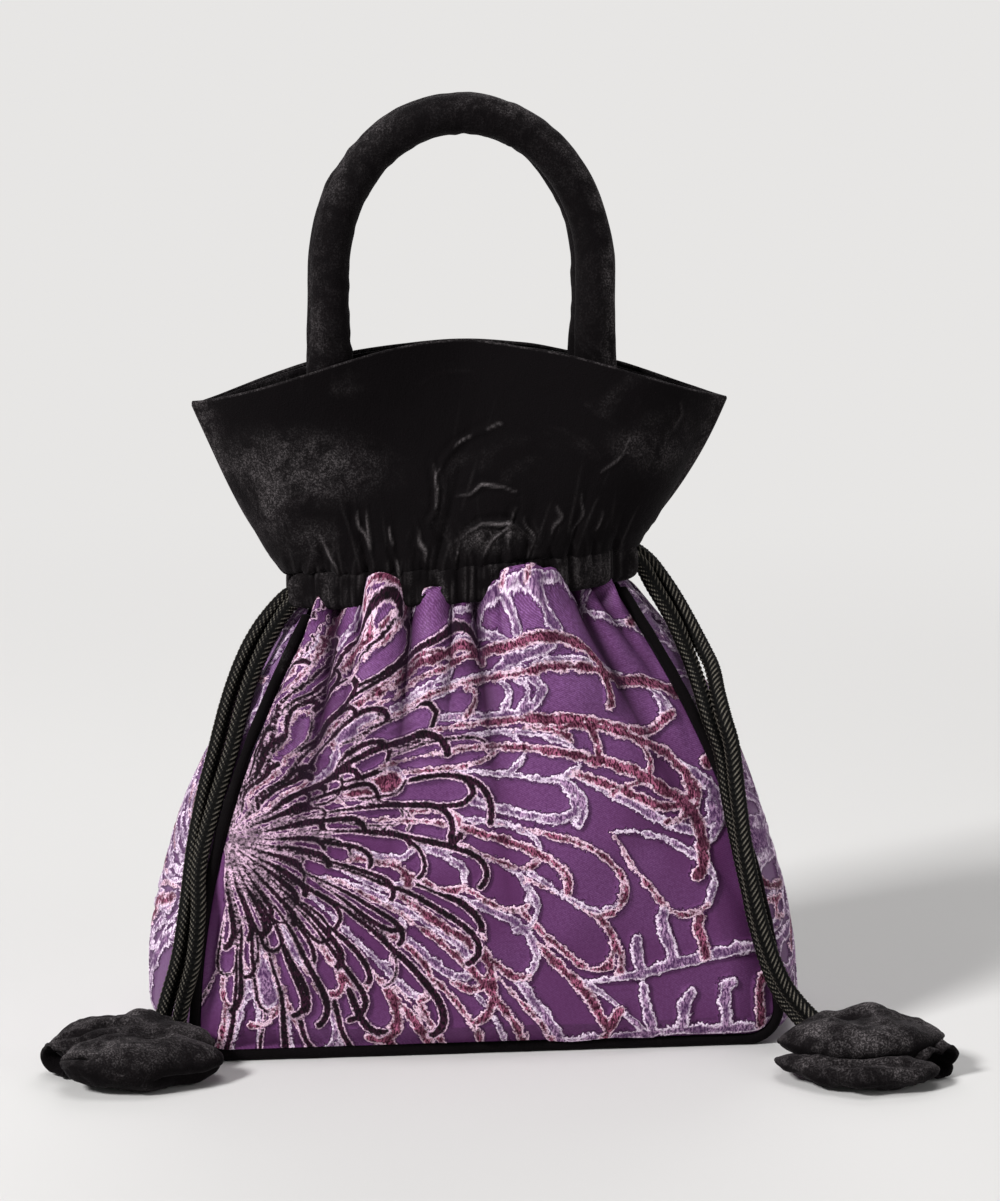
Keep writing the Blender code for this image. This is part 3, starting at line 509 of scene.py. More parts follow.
def nearest_on_line(places, line):
    """For each step of a line: its number, and how far along it and away from it each place lies."""
    for i in range(len(line) - 1):
        along = line[i + 1] - line[i]
        share = np.clip((places - line[i]) @ along / max(along @ along, 1e-9), 0, 1)
        yield i, share, np.linalg.norm(places - line[i] - share[..., None] * along, axis=-1)


# Meshes


def grid_normals(grid, closed=False):
    """Unit normals of a grid of points; a closed grid joins its last column to its first."""
    if closed:
        wide = np.concatenate([grid[:, -1:], grid, grid[:, :1]], 1)
        across = (wide[:, 2:] - wide[:, :-2]) / 2
    else:
        across = np.gradient(grid, axis=1)
    return unit(np.cross(across, np.gradient(grid, axis=0)))


def make_mesh(name, points, quads, material, values=None, plane=None):
    """A smooth mesh from arrays, with float attributes by name and cloth coordinates as its UVs."""
    mesh = bpy.data.meshes.new(name)
    mesh.vertices.add(len(points))
    mesh.vertices.foreach_set("co", np.asarray(points, np.float32).ravel())
    mesh.loops.add(len(quads) * 4)
    mesh.loops.foreach_set("vertex_index", quads.astype(np.int32).ravel())
    mesh.polygons.add(len(quads))
    mesh.polygons.foreach_set("loop_start", np.arange(0, len(quads) * 4, 4, dtype=np.int32))
    mesh.update(calc_edges=True)
    mesh.validate()
    for key, value in (values or {}).items():
        attribute = mesh.attributes.new(key, "FLOAT", "POINT")
        attribute.data.foreach_set("value", np.asarray(value, np.float32).ravel())
    if plane is not None:
        layer = mesh.uv_layers.new(name="cloth")
        corners = np.zeros(len(mesh.loops), np.int32)
        mesh.loops.foreach_get("vertex_index", corners)
        layer.data.foreach_set("uv", np.asarray(plane, np.float32)[corners].ravel())
    mesh.shade_smooth()
    mesh.materials.append(material)
    item = bpy.data.objects.new(name, mesh)
    bpy.context.scene.collection.objects.link(item)
    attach(item, "root")
    return item


def grid_quads(rows, columns, closed=False, start=0):
    row = np.arange(rows - 1)[:, None]
    column = np.arange(columns if closed else columns - 1)[None, :]
    beside = (column + 1) % columns
    lower, upper = row * columns, (row + 1) * columns
    quads = [lower + column, lower + beside, upper + beside, upper + column]
    return np.stack(quads, -1).reshape(-1, 4) + start


def grid_piece(name, grid, material, closed=False, values=None, plane=None):
    flat_plane = None if plane is None else plane.reshape(-1, 2)
    quads = grid_quads(*grid.shape[:2], closed)
    return make_mesh(name, grid.reshape(-1, 3), quads, material, values, flat_plane)


def capped_tube(name, grid, material, values=None):
    """A closed tube: each end is drawn in to a rounded tip."""
    radius = np.linalg.norm(grid[0] - grid[0].mean(0), axis=1).mean()
    caps = []
    for ring, beside in ((grid[0], grid[1]), (grid[-1], grid[-2])):
        centre = ring.mean(0)
        out = unit(centre - beside.mean(0)) * radius * 0.6
        caps.append([centre + (ring - centre) * math.cos(a) + out * math.sin(a) for a in CAP_TURNS])
    rows = np.concatenate([caps[0][::-1], grid, caps[1]])
    if values:
        rest = len(CAP_TURNS)
        values = {key: np.concatenate([[v[0]] * rest, v, [v[-1]] * rest]) for key, v in values.items()}
    return grid_piece(name, rows, material, closed=True, values=values)


def cloth_shell(name, side, outer, inner, material, values):
    """Cloth with a thickness: an outer and an inner grid joined along all their edges.

    The grids are those of the upright bag's front, and the back's cloth is their mirror image.
    """
    for grid in (outer, inner):
        grid[..., 1] *= side
    rows, columns = outer.shape[:2]
    count = rows * columns
    index = np.arange(count).reshape(rows, columns)
    rim = np.concatenate([index[0, :], index[1:, -1], index[-1, -2::-1], index[-2:0:-1, 0]])
    after = np.roll(rim, -1)
    front = grid_quads(rows, columns)
    band = np.stack([after, rim, rim + count, after + count], -1)
    quads = np.concatenate([front, front[:, ::-1] + count, band])
    points = np.concatenate([lean_and_tilt(grid).reshape(-1, 3) for grid in (outer, inner)])
    values = {key: np.concatenate([value.ravel()] * 2) for key, value in values.items()}
    return make_mesh(name, points, quads, material, values)


# Finishes


class Shader:
    """A material's node tree, with short calls for the nodes that the finishes share."""

    def __init__(self, name):
        self.material = bpy.data.materials.new(name)
        self.material.use_nodes = True
        self.tree = self.material.node_tree
        self.surface = self.tree.nodes["Principled BSDF"]
        self.place = self.node("ShaderNodeTexCoord").outputs["Object"]

    def node(self, kind, settings=None, **inputs):
        made = self.tree.nodes.new(kind)
        for key, value in (settings or {}).items():
            setattr(made, key, value)
        return self.fill(made, inputs)

    def fill(self, node, inputs):
        for key, value in inputs.items():
            self.feed(node.inputs[key.replace("_", " ")], value)
        return node

    def feed(self, socket, value):
        if isinstance(value, bpy.types.NodeSocket):
            self.tree.links.new(value, socket)
        elif isinstance(value, tuple) and len(value) == 3 and socket.type == "RGBA":
            socket.default_value = (*value, 1.0)
        else:
            socket.default_value = value

    def math(self, operation, *values):
        made = self.node("ShaderNodeMath", {"operation": operation})
        for socket, value in zip(made.inputs, values):
            self.feed(socket, value)
        return made.outputs[0]

    def times(self, first, second):
        return self.math("MULTIPLY", first, second)

    def noise(self, scale, detail=2.0, roughness=0.5, place=None, distortion=0.0):
        inputs = {"Scale": scale, "Detail": detail, "Roughness": roughness, "Distortion": distortion}
        return self.node("ShaderNodeTexNoise", Vector=place or self.place, **inputs).outputs["Fac"]

    def ramp(self, value, start, end, low=0.0, high=1.0):
        """The value carried from start to end over to low to high, and held beyond them."""
        made = self.node("ShaderNodeMapRange", {"interpolation_type": "SMOOTHSTEP"})
        for socket, number in zip(made.inputs, (value, start, end, low, high)):
            self.feed(socket, number)
        return made.outputs[0]

    def blend(self, share, first, second):
        """A colour between two others."""
        made = self.node("ShaderNodeMix", {"data_type": "RGBA"})
        for index, value in ((0, share), (6, first), (7, second)):
            self.feed(made.inputs[index], value)
        return made.outputs[2]

    def stretched(self, scale, turn=(0.0, 0.0, 0.0), place=None):
        """Coordinates scaled by a different amount along each axis."""
        made = self.node("ShaderNodeMapping", Vector=place or self.place, Scale=scale, Rotation=turn)
        return made.outputs[0]

    def attribute(self, name):
        return self.node("ShaderNodeAttribute", {"attribute_name": name}).outputs["Fac"]

    def bump(self, height, distance, strength, **under):
        inputs = {"Height": height, "Distance": distance, "Strength": strength, **under}
        return self.node("ShaderNodeBump", **inputs).outputs[0]

    def finish(self, **inputs):
        self.fill(self.surface, inputs)
        return self.material


def velvet_material():
    """Black silk velvet: pile that swallows light, greyed where the nap is crushed and where a sheen is
    painted on, with painted highlights along creases.
    """
    shader = Shader("black_velvet")
    speckle = shader.noise(1500.0, 2.0, 0.7)
    strands = shader.noise(620.0, 3.0, 0.7, shader.stretched((1.0, 1.0, 0.45)), 0.8)
    mottle = shader.noise(95.0, 4.0, 0.7, distortion=0.6)
    stray = shader.ramp(shader.noise(24.0, 3.0, 0.6, distortion=1.0), 0.60, 0.76, 0.0, 0.16)
    crushed_and_sheen = shader.math("MAXIMUM", shader.attribute("nap_and_sheen"), stray)
    crushed_and_sheen = shader.times(crushed_and_sheen, shader.ramp(mottle, 0.38, 0.6, 0.15, 1.0))
    grain = shader.times(shader.ramp(speckle, 0.45, 0.6), shader.ramp(strands, 0.4, 0.56, 0.3, 1.0))
    amount = shader.times(crushed_and_sheen, shader.math("MULTIPLY_ADD", grain, 0.86, 0.14))
    color = shader.blend(amount, VELVET_DARK, VELVET_NAP_AND_SHEEN_GREY)
    # Painted highlight along the creases and the crests of crumples
    pressed = shader.times(shader.attribute("crease_highlight"), shader.ramp(speckle, 0.36, 0.6, 0.35, 1.0))
    height = shader.math("ADD", speckle, shader.times(strands, 0.8))
    normal = shader.bump(height, 0.0006, 0.5)
    return shader.finish(
        Base_Color=shader.blend(pressed, color, VELVET_CREASE_HIGHLIGHT),
        Roughness=0.85,
        Normal=shader.bump(mottle, 0.0014, 0.3, Normal=normal),
        Specular_IOR_Level=0.05,
        Sheen_Weight=0.10,
        Sheen_Roughness=0.35,
        Sheen_Tint=(0.34, 0.31, 0.33),
    )


def cotton_material():
    shader = Shader("cotton_filler")
    twist = shader.noise(900.0, 3.0, 0.6, shader.stretched((1.0, 1.0, 0.2), (0.0, 0.6, 0.0)))
    color = shader.blend(twist, (0.52, 0.47, 0.38), (0.80, 0.77, 0.70))
    normal = shader.bump(twist, 0.0004, 0.5)
    return shader.finish(Base_Color=color, Roughness=0.9, Normal=normal, Sheen_Weight=0.2)


def braid_material():
    """Black rayon braid whose raised stitches catch a grey-brown light."""
    shader = Shader("black_braid")
    raised = shader.attribute("stitch")
    fibres = shader.noise(2600.0, 2.0, 0.6)
    light = shader.times(shader.ramp(raised, 0.52, 0.9), shader.ramp(fibres, 0.35, 0.62, 0.45, 1.0))
    color = shader.blend(light, (0.0016, 0.0015, 0.0014), (0.19, 0.172, 0.142))
    normal = shader.bump(fibres, 0.0002, 0.3)
    return shader.finish(Base_Color=color, Roughness=0.6, Normal=normal, Specular_IOR_Level=0.06)


def satin_material():
    shader = Shader("lining_satin")
    threads = shader.noise(3000.0, 1.0, 0.5, shader.stretched((1.0, 1.0, 0.08)))
    color = shader.blend(threads, (0.016, 0.006, 0.026), (0.034, 0.014, 0.052))
    normal = shader.bump(threads, 0.0001, 0.2)
    return shader.finish(Base_Color=color, Roughness=0.38, Normal=normal, Specular_IOR_Level=0.5)


def twilled_ground(shader, cloth, sparkle, depth):
    """The bare ground's weave and its colour, between pale and deep by how deep the dye is."""
    inputs = {"Scale": 0.62, "Distortion": 4.5, "Detail": 2.0, "Detail_Scale": 1.4}
    bands = {"wave_type": "BANDS", "bands_direction": "DIAGONAL"}
    place = shader.stretched((0.8, 1.5, 1.0), place=cloth)
    weave = shader.node("ShaderNodeTexWave", bands, Vector=place, **inputs).outputs["Fac"]
    lustre = shader.times(shader.attribute("lustre"), shader.ramp(sparkle, 0.36, 0.6, 0.4, 1.0))
    thread = shader.times(shader.ramp(weave, 0.25, 1.0, 0.35, 1.0), lustre)
    pairs = ((PALE_GROUND, DEEP_GROUND), (PALE_THREAD, DEEP_THREAD))
    dark, light = (tuple(mix(np.array(pale), np.array(deep), depth)) for pale, deep in pairs)
    return weave, shader.blend(thread, dark, light)


def frayed_fields(shader, cloth):
    """How far a place lies from the pile of each shade, whose edges are frayed."""
    fray = shader.math("MULTIPLY_ADD", shader.noise(0.9, 2.0, 0.6, cloth), 2.4, -1.2)
    uneven = shader.math("MULTIPLY_ADD", shader.noise(0.2, 2.0, 0.5, cloth), 3.6, -1.9)
    wide_fray = shader.math("ADD", fray, uneven)
    fields = {}
    for shade, frays in {"black": shader.times(fray, 0.6), "rose": wide_fray, "haze": wide_fray}.items():
        fields[shade] = shader.math("ADD", shader.attribute(shade + "_line"), frays)
    return fields


def pile_over(shader, cloth, sparkle, fields, color):
    """The ground's colour with the pile on it, each shade with a painted highlight and painted glints
    along its frayed edge, and brighter where the shine paints the pile lit.
    """
    shine = shader.attribute("shine")
    combed = shader.noise(0.8, 3.0, 0.75, shader.stretched((1.7, 0.7, 1.0), (0, 0, 0.6), cloth))
    lay = shader.noise(0.15, 2.0, 0.6, cloth)
    shone = shader.math("MULTIPLY_ADD", shine, 0.85, 0.35)
    shone = shader.times(shone, shader.ramp(lay, 0.4, 0.6, 0.35, 1.2))
    tone = shader.times(shader.ramp(combed, 0.44, 0.58), shone)
    bright = shader.math("MULTIPLY_ADD", shine, 1.12, 0.46)
    bright = shader.times(bright, shader.ramp(lay, 0.38, 0.56, 0.55, 1.4))
    glint = shader.times(shader.ramp(sparkle, 0.41, 0.51, 0.18, 1.0), bright)
    for shade, (dark, light, edge) in PILE_COLORS.items():
        fringe = FRINGE_WIDTHS[shade]
        # The frayed edge takes a painted highlight, broken into painted glints
        rim = shader.times(shader.ramp(fields[shade], -1.15 * fringe, -0.2 * fringe), glint)
        pile = shader.blend(rim, shader.blend(tone, dark, light), edge)
        color = shader.blend(shader.ramp(fields[shade], 0.14, -0.1), color, pile)
    return color


def devore_material(name, depth):
    """Burnt-out velvet: raised pile lines in three shades left standing on a twilled ground.

    The depth says how deep the dye is, from 0 for pale to 1.
    """
    shader = Shader(name)
    cloth = shader.node("ShaderNodeUVMap", {"uv_map": "cloth"}).outputs[0]
    sparkle = shader.noise(0.85, 3.0, 0.75, cloth)
    fields = frayed_fields(shader, cloth)
    weave, color = twilled_ground(shader, cloth, sparkle, depth)
    color = pile_over(shader, cloth, sparkle, fields, color)
    # Painted shade, darkest in the hollows of the folds
    color = shader.blend(shader.attribute("hollow"), color, GROUND_SHADE_IN_FOLDS)
    nearest = shader.math("MINIMUM", fields["rose"], fields["haze"])
    standing = shader.ramp(shader.math("MINIMUM", fields["black"], nearest), 0.7, 0.1)
    relief = shader.bump(standing, 0.0006, 0.5)
    relief = shader.bump(shader.times(standing, sparkle), 0.0012, 0.7, Normal=relief)
    return shader.finish(
        Base_Color=color,
        Roughness=shader.math("MULTIPLY_ADD", standing, 0.3, 0.5),
        Normal=shader.bump(weave, 0.00016, 0.35, Normal=relief),
        Specular_IOR_Level=0.12,
        Sheen_Weight=0.02,
        Sheen_Roughness=0.4,
    )


# The pile pattern: whorls of leaf-shaped petals about a flower's heart, with curled tips


class Pattern:
    """How far each place of a cloth lies from the pile lines of each shade, below zero inside them.

    Places and sizes are in millimetres of cloth.
    """

    FAR = 4.0

    def __init__(self, plane):
        self.plane = plane
        self.fields = {shade: np.full(len(plane), self.FAR) for shade in SHADES}

    def near(self, line, margin):
        low, high = line.min(0) - margin, line.max(0) + margin
        return np.nonzero(np.all((self.plane > low) & (self.plane < high), axis=1))[0]

    def distances(self, near, line, half_widths):
        """Distance to a polyline, bare and less the line's half width at the nearest place."""
        bare = np.full(len(near), 1e3)
        clear = np.full(len(near), self.FAR)
        for i, share, away in nearest_on_line(self.plane[near], line):
            bare = np.minimum(bare, away)
            clear = np.minimum(clear, away - mix(half_widths[i], half_widths[i + 1], share))
        return bare, clear

    def lay_line(self, near, clear, shade):
        """A line's shade takes its places, and hides the other shades there."""
        for other, field in self.fields.items():
            if other != shade:
                field[near] = np.maximum(field[near], -clear - LINE_OVERLAP)
        self.fields[shade][near] = np.minimum(self.fields[shade][near], clear)

    def add_line(self, line, half_widths, shade):
        near = self.near(line, half_widths.max() + self.FAR)
        if len(near):
            self.lay_line(near, self.distances(near, line, half_widths)[1], shade)

    def add_petal(self, left, right, widths, shades, filled=None):
        """A leaf between two sides, which hides whatever was drawn beneath it."""
        outline = np.concatenate([left, right[::-1]])
        near = self.near(outline, widths.max() + self.FAR)
        if not len(near):
            return
        sides = [self.distances(near, side, widths) for side in (left, right)]
        to_edge = np.minimum(sides[0][0], sides[1][0])
        inside = self.empty(near, outline, to_edge)
        if filled:
            depth = np.where(inside, to_edge, -1.0)
            self.fields[filled][near] = np.minimum(self.fields[filled][near], 0.5 - depth)
        for (_, clear), shade in zip(sides, shades):
            self.lay_line(near, clear, shade)

    def empty(self, near, outline, depth):
        """Bare ground inside an outline, whose places lie at a given depth from its edge."""
        inside = within(self.plane[near], outline)
        for field in self.fields.values():
            emptied = np.maximum(field[near], np.minimum(depth, self.FAR))
            field[near] = np.where(inside, emptied, field[near])
        return inside


def within(places, outline):
    """Which places lie inside a closed outline."""
    inside = np.zeros(len(places), bool)
    for first, second in zip(outline, np.roll(outline, -1, axis=0)):
        rise = second[1] - first[1]
        if abs(rise) < 1e-9:
            continue
        crosses = (first[1] > places[:, 1]) != (second[1] > places[:, 1])
        reach = first[0] + (places[:, 1] - first[1]) / rise * (second[0] - first[0])
        inside ^= crosses & (places[:, 0] < reach)
    return inside


def flow_line(heart, start_angle, inner, outer, count):
    """Points outwards along the flower's flow, which turns clockwise more and more on its way."""
    radius = np.linspace(inner, outer, count)
    ray = start_angle - SWIRL * (radius / 100) ** SWIRL_POWER
    line = heart + radius[:, None] * np.stack([np.cos(ray), np.sin(ray)], -1)
    along = unit(np.gradient(line, axis=0))
    return line, np.stack([-along[:, 1], along[:, 0]], -1)


def with_curl(line, turn, reach):
    """The line carried on clockwise round a hook."""
    heading = math.atan2(*(line[-1] - line[-2])[::-1])
    place = line[-1]
    hook = []
    for step in range(HOOK_STEPS):
        heading -= turn / HOOK_STEPS * (0.4 + 1.2 * step / HOOK_STEPS)
        place = place + np.array([math.cos(heading), math.sin(heading)]) * reach / HOOK_STEPS
        hook.append(place)
    return np.concatenate([line, hook])


def tapered(count, widest, start):
    """Half widths that grow from a thin start to a full, round end."""
    return widest * mix(start, 1.0, smooth_step(np.linspace(0, 1, count) * 1.5))


def pick(rng, shades):
    """A shade drawn by the share of each: black, rose and haze."""
    return SHADES[int(np.searchsorted(np.cumsum(shades), rng.uniform() * sum(shades)))]


def rung(left, right, place, thick):
    """A bowed line across a petal, with its half widths."""
    share = np.linspace(0, 1, RUNG_POINTS)[:, None]
    bow = (left[place] - left[place - 3]) * 0.5
    line = mix(left[place], right[place], share) + bow * np.sin(math.pi * share)
    return line, np.full(RUNG_POINTS, thick)


def draw_petal(pattern, rng, heart, angle, half_wide, ring, scale):
    """One petal, with its rungs and its curled tip; its numbers are drawn even if it is left out."""
    tip, length, shades, fill, gaps = ring
    reach = tip * scale * rng.uniform(0.88, 1.12)
    root = max((tip - length) * rng.uniform(0.85, 1.1), 2.0) * scale
    line, square = flow_line(heart, angle, root, reach, PETAL_POINTS)
    share = np.linspace(0, 1, PETAL_POINTS)
    swell = (share**0.8 * (1 - share**5) ** 0.55) * half_wide * PETAL_OVERLAP * rng.uniform(0.85, 1.12)
    skew = rng.uniform(-0.1, 0.3)
    left, right = (line + square * (s * swell * (1 + s * skew))[:, None] for s in (1, -1))
    thick = mix(0.75, 1.4, min(tip / 120, 1.0)) * rng.uniform(0.65, 1.5)
    pair = pick(rng, shades), pick(rng, shades)
    filled = pick(rng, (0, 3, 2)) if rng.uniform() < fill else None
    left_out = rng.uniform() < gaps
    curled = rng.uniform() < CURLED_SHARE
    turn, hook = rng.uniform(1.2, 2.6), rng.uniform(6, 17) * (1 + tip / 200)
    rungs = rng.uniform(-0.06, 0.06, len(RUNG_PLACES)) + RUNG_PLACES
    if left_out:
        return
    pattern.add_petal(left, right, tapered(PETAL_POINTS, thick, 0.45), pair, filled)
    if tip > RUNG_TIP and angle > RUNG_ANGLE:
        for place in rungs[rng.uniform(size=len(rungs)) < RUNG_SHARE]:
            crossing = rung(left, right, int(place * (PETAL_POINTS - 1)), 0.75 * thick)
            pattern.add_line(*crossing, pick(rng, shades))
    if tip > CURLED_TIP and curled:
        curl = with_curl(left[:-2], turn, hook)
        pattern.add_line(curl, tapered(len(curl), thick * 1.1, 0.5), pair[0])


def draw_flower(pattern, heart, start, end, seed, scale=1.0, pale=False):
    """Rings of overlapping petals, the outer ones first, then the curled lines that lie over them.

    A pale flower has lines of the two lighter shades alone. The angles are in degrees.
    """
    rng = np.random.default_rng(seed)
    start, end = math.radians(start), math.radians(end)
    for number, (tip, length, shades, *rest) in enumerate(PETAL_RINGS):
        ring = (tip, length, PALE_SHADES if pale else shades, *rest)
        middle = tip - length * 0.4
        half_wide = (PETAL_HALF_WIDTH + PETAL_WIDENING * middle) * scale
        count = max(int((end - start) * middle * scale / (half_wide * 2 * PETAL_PITCH)), 3)
        for i in range(count):
            angle = mix(start, end, (i + 0.5 * (number % 2) + rng.uniform(-0.16, 0.16)) / count)
            draw_petal(pattern, rng, heart, angle, half_wide, ring, scale)
    for inner, outer, count, thick, shade, first, last, turn, hook in () if pale else CURLED_LINES:
        for i in range(count):
            share = (i + rng.uniform(0.2, 0.8)) / count
            angle = mix(mix(start, end, first), mix(start, end, last), share)
            reach = rng.uniform(0.62, 1.05) * outer * scale
            line, _ = flow_line(heart, angle, inner * scale, reach, CURLED_POINTS)
            curl = with_curl(line, turn * rng.uniform(0.6, 1.15), hook * rng.uniform(0.6, 1.1))
            pattern.add_line(curl, tapered(len(curl), thick * rng.uniform(0.85, 1.15), 0.3), shade)


def draw_border(pattern, start, end, low, rise, bare, seed):
    """A line along the cloth's lower edge with short hooked twigs standing on it, over bare ground."""
    rng = np.random.default_rng(seed)
    x, share = np.linspace(start, end, BORDER_POINTS), np.linspace(0, 1, BORDER_POINTS)
    z = low + rise * share**1.6 + 0.8 * np.sin(x / 9.0)
    line = np.stack([x, z], -1)
    outline = np.concatenate([line, [(end, low - bare), (start + bare, low - bare)]])
    near = pattern.near(outline, 0.0)
    if len(near):
        pattern.empty(near, outline, pattern.distances(near, line, np.zeros(BORDER_POINTS))[0])
    pattern.add_line(line, mix(0.8, 2.0, smooth_step(share * 4)), "haze")
    for place in np.arange(start + 16, end, 15.0):
        foot = np.array([place, np.interp(place, x, z)]) + rng.uniform(-4, 4, 2) * (1, 0)
        heading = rng.uniform(1.1, 1.9)
        top = foot + np.array([math.cos(heading), math.sin(heading)]) * rng.uniform(6, 14)
        twig = with_curl(np.linspace(foot, top, 8), rng.uniform(0.4, 1.6), 5.0)
        pattern.add_line(twig, np.full(len(twig), 2.1), pick(rng, (0, 1, 3)))


def draw_front(pattern):
    draw_flower(pattern, HEARTS[1], -88, 150, 8)
    draw_border(pattern, 37, 114, 29, 13, 22, 13)
    draw_border(pattern, 28, 114, 6, 3, 2, 12)


def draw_back(pattern):
    draw_flower(pattern, HEARTS[-1], 60, 300, 21)
    draw_border(pattern, -112, -44, 24, 6, 14, 23)
    draw_border(pattern, -112, -20, 6, 2, 2, 22)


def draw_gusset(pattern):
    draw_flower(pattern, (-40, -170), -60, 115, 33, 0.9, pale=True)
    draw_flower(pattern, (44, 178), 120, 265, 34, 0.9, pale=True)
    draw_flower(pattern, (0, 0), -90, 90, 35, 0.6, pale=True)


def cloth_shine(points, heart, reach, seed):
    """A painted highlight where the pile leans to the light: in drifting patches, least near the flower's
    heart.
    """
    away = np.hypot(points[..., 0] - heart[0] / 1000, points[..., 2] - heart[1] / 1000) * 1000 / reach
    drift = waves(points, (0.024, seed, 0.28), (0.009, seed + 1, 0.16))
    return np.clip(0.48 - 0.48 * bell(away) + drift, 0, 1)


def cloth_lustre(points, seed):
    """A painted sheen on the twill of the bare ground: most in the gathered cloth near the neck."""
    gathered = smooth_step((points[..., 2] - 0.07) / 0.07)
    drift = waves(points, (0.030, seed, 0.35), (0.012, seed + 1, 0.2))
    return np.clip(0.12 + 0.66 * gathered + drift, 0.05, 1)


def drawn_pattern(draw, plane, points, seed):
    """The pattern drawn on a cloth shifted a little here and there, and how far its pile stands."""
    shift = [lattice_noise(points, 0.013, seed + i).ravel() for i in range(2)]
    pattern = Pattern(plane.reshape(-1, 2) + np.stack(shift, -1))
    draw(pattern)
    nearest = np.minimum.reduce(list(pattern.fields.values())).reshape(points.shape[:2])
    lines = {shade + "_line": field for shade, field in pattern.fields.items()}
    return lines, PILE_HEIGHT * smooth_step(1.0 - nearest)


# Body


def half_width(z):
    return mix(BASE_HALF_WIDTH, NECK_HALF_WIDTH, np.clip(z / BODY_TOP, 0, 1) ** WIDTH_POWER)


def half_depth(z):
    return mix(BASE_HALF_DEPTH, NECK_EDGE_DEPTH, np.clip(z / BODY_TOP, 0, 1) ** DEPTH_POWER)


def steepness(profile, z):
    step = 0.001
    return np.hypot(1, (profile(z) - profile(z - step)) / step)


def corner_of_outline(angle, inset):
    centre = half_width(CORNER_Z) - CORNER_RADIUS
    radius = CORNER_RADIUS - inset
    return centre + radius * np.cos(angle), CORNER_Z - radius * np.sin(angle)


def side_of_outline(share, inset):
    """The right side in front view, from the neck at share 0 to the middle of the corner at 1."""
    z = mix(BODY_TOP, CORNER_Z, np.minimum(share / SIDE_SHARE, 1.0))
    x = half_width(z) - inset * steepness(half_width, z)
    angle = np.radians(45) * np.clip((share - SIDE_SHARE) / (1 - SIDE_SHARE), 0, 1)
    return np.where(share > SIDE_SHARE, corner_of_outline(angle, inset), (x, z)).T


def bottom_of_outline(share, inset):
    """The bottom edge in front view, from the left corner's middle to the right one's."""
    out = np.abs(share * 2 - 1)
    angle = np.radians(90 - 45 * np.clip((out - FLAT_SHARE) / (1 - FLAT_SHARE), 0, 1))
    arc_x, arc_z = corner_of_outline(angle, inset)
    reach = corner_of_outline(np.radians(90.0), inset)[0]
    x = np.where(out > FLAT_SHARE, arc_x, reach * out / FLAT_SHARE)
    return np.stack([np.sign(share - 0.5) * x, arc_z], -1)


def whole_outline(side_shares, base_shares, inset):
    """The outline in front view, from the left of the neck round the bottom to the right of it."""
    right = side_of_outline(side_shares, inset)
    under = bottom_of_outline(base_shares, inset)
    return np.concatenate([right * (-1, 1), under[1:-1], right[::-1]])


def even_shares(curve, count, evenness):
    """Shares along a curve that are part even in share and part even in length."""
    share = np.linspace(0, 1, OUTLINE_POINTS)
    reached = lengths_along(curve(share, 0.0))
    by_length = np.interp(np.linspace(0, reached[-1], count), reached, share)
    return mix(np.linspace(0, 1, count), by_length, evenness)


def neck_turn_in(z, neck_inset):
    start = BODY_TOP * LINING_TURN_IN
    return neck_inset * smooth_step((z - start) / (BODY_TOP - start))


def panel_patch(rows, columns, inset, proud, neck_inset=0.0):
    """The front panel's blended patch, with how far across and down each point lies."""
    down = even_shares(side_of_outline, rows, 0.9)
    across = even_shares(bottom_of_outline, columns, 0.6)

    def on_edge(outline):
        x, z = outline.T
        turn_in = neck_turn_in(z, neck_inset)
        return np.stack([x - turn_in, turn_in - half_depth(z) - proud, z], -1)

    right = on_edge(side_of_outline(down, inset))
    left = right * (-1, 1, 1)
    bottom = on_edge(bottom_of_outline(across, inset))
    reach = across * 2 - 1
    x, y, z = right[0]
    top = np.stack([reach * x, y - NECK_CROWN * (1 - reach**2), np.full(columns, z)], -1)
    u, v = np.meshgrid(across, down)
    wide, deep = u[..., None], v[..., None]
    corners = mix(mix(left[0], right[0], wide), mix(left[-1], right[-1], wide), deep)
    grid = mix(top[None], bottom[None], deep) + mix(left[:, None], right[:, None], wide) - corners
    grid[..., 1] -= FRONT_BELLY * np.sin(math.pi * v) * np.sin(math.pi * u)
    return grid, u, v


def crease_depth(place, creases, below, narrowing=1.0):
    """How deep gathers draw cloth in, in metres: a sharp valley along each crease.

    Places across and distances below the seam are in millimetres. A crease gives its place, depth,
    width, length and how far it leans.
    """
    depth = np.zeros_like(place)
    for start, deep, wide, long, leaning in creases:
        share = np.maximum(below, 0) / long
        away = (place - start - leaning * below) / (wide * narrowing * (1 + 1.2 * share))
        depth += deep * bell(share, 1.5) * bell(away, 1)
    return depth / 1000


def crease_light(place, creases, below):
    """A thin pale line beside each crease's valley, where the cloth's lip catches the light."""
    light = np.zeros_like(place)
    for start, deep, wide, long, leaning in creases:
        share = np.maximum(below, 0) / long
        away = place - start - leaning * below
        fade = bell(share / 1.15, 3) * min(deep / 2.0, 1.0)
        for edge in (-1.15, 1.3):
            crest = edge * wide * (1 + 1.2 * share)
            light = np.maximum(light, fade * bell((away - crest) / 0.42))
    return light


def pleat_row(seed, start, end, pitch, depth, length):
    """Small pleats in a row, each with its own place, depth, width, length and lean."""
    rng = np.random.default_rng(seed)
    places = np.arange(start, end, pitch)
    places = places + rng.uniform(-0.35, 0.35, len(places)) * pitch
    pleats = []
    for place in places:
        deep, wide = depth * rng.uniform(0.4, 1.2), rng.uniform(0.7, 1.3)
        long, leaning = length * rng.uniform(0.5, 1.5), rng.uniform(-0.4, 0.4)
        pleats.append((place, deep, wide, long, leaning))
    return pleats


def puff_lift(place, puffs):
    """How far the cloth between gathers bulges up over the seam, in metres."""
    lift = np.zeros_like(place)
    for middle, half, high in puffs:
        share = np.clip(1 - ((place - middle) / half) ** 2, 0, 1)
        lift = np.maximum(lift, high * share**0.55)
    return lift / 1000


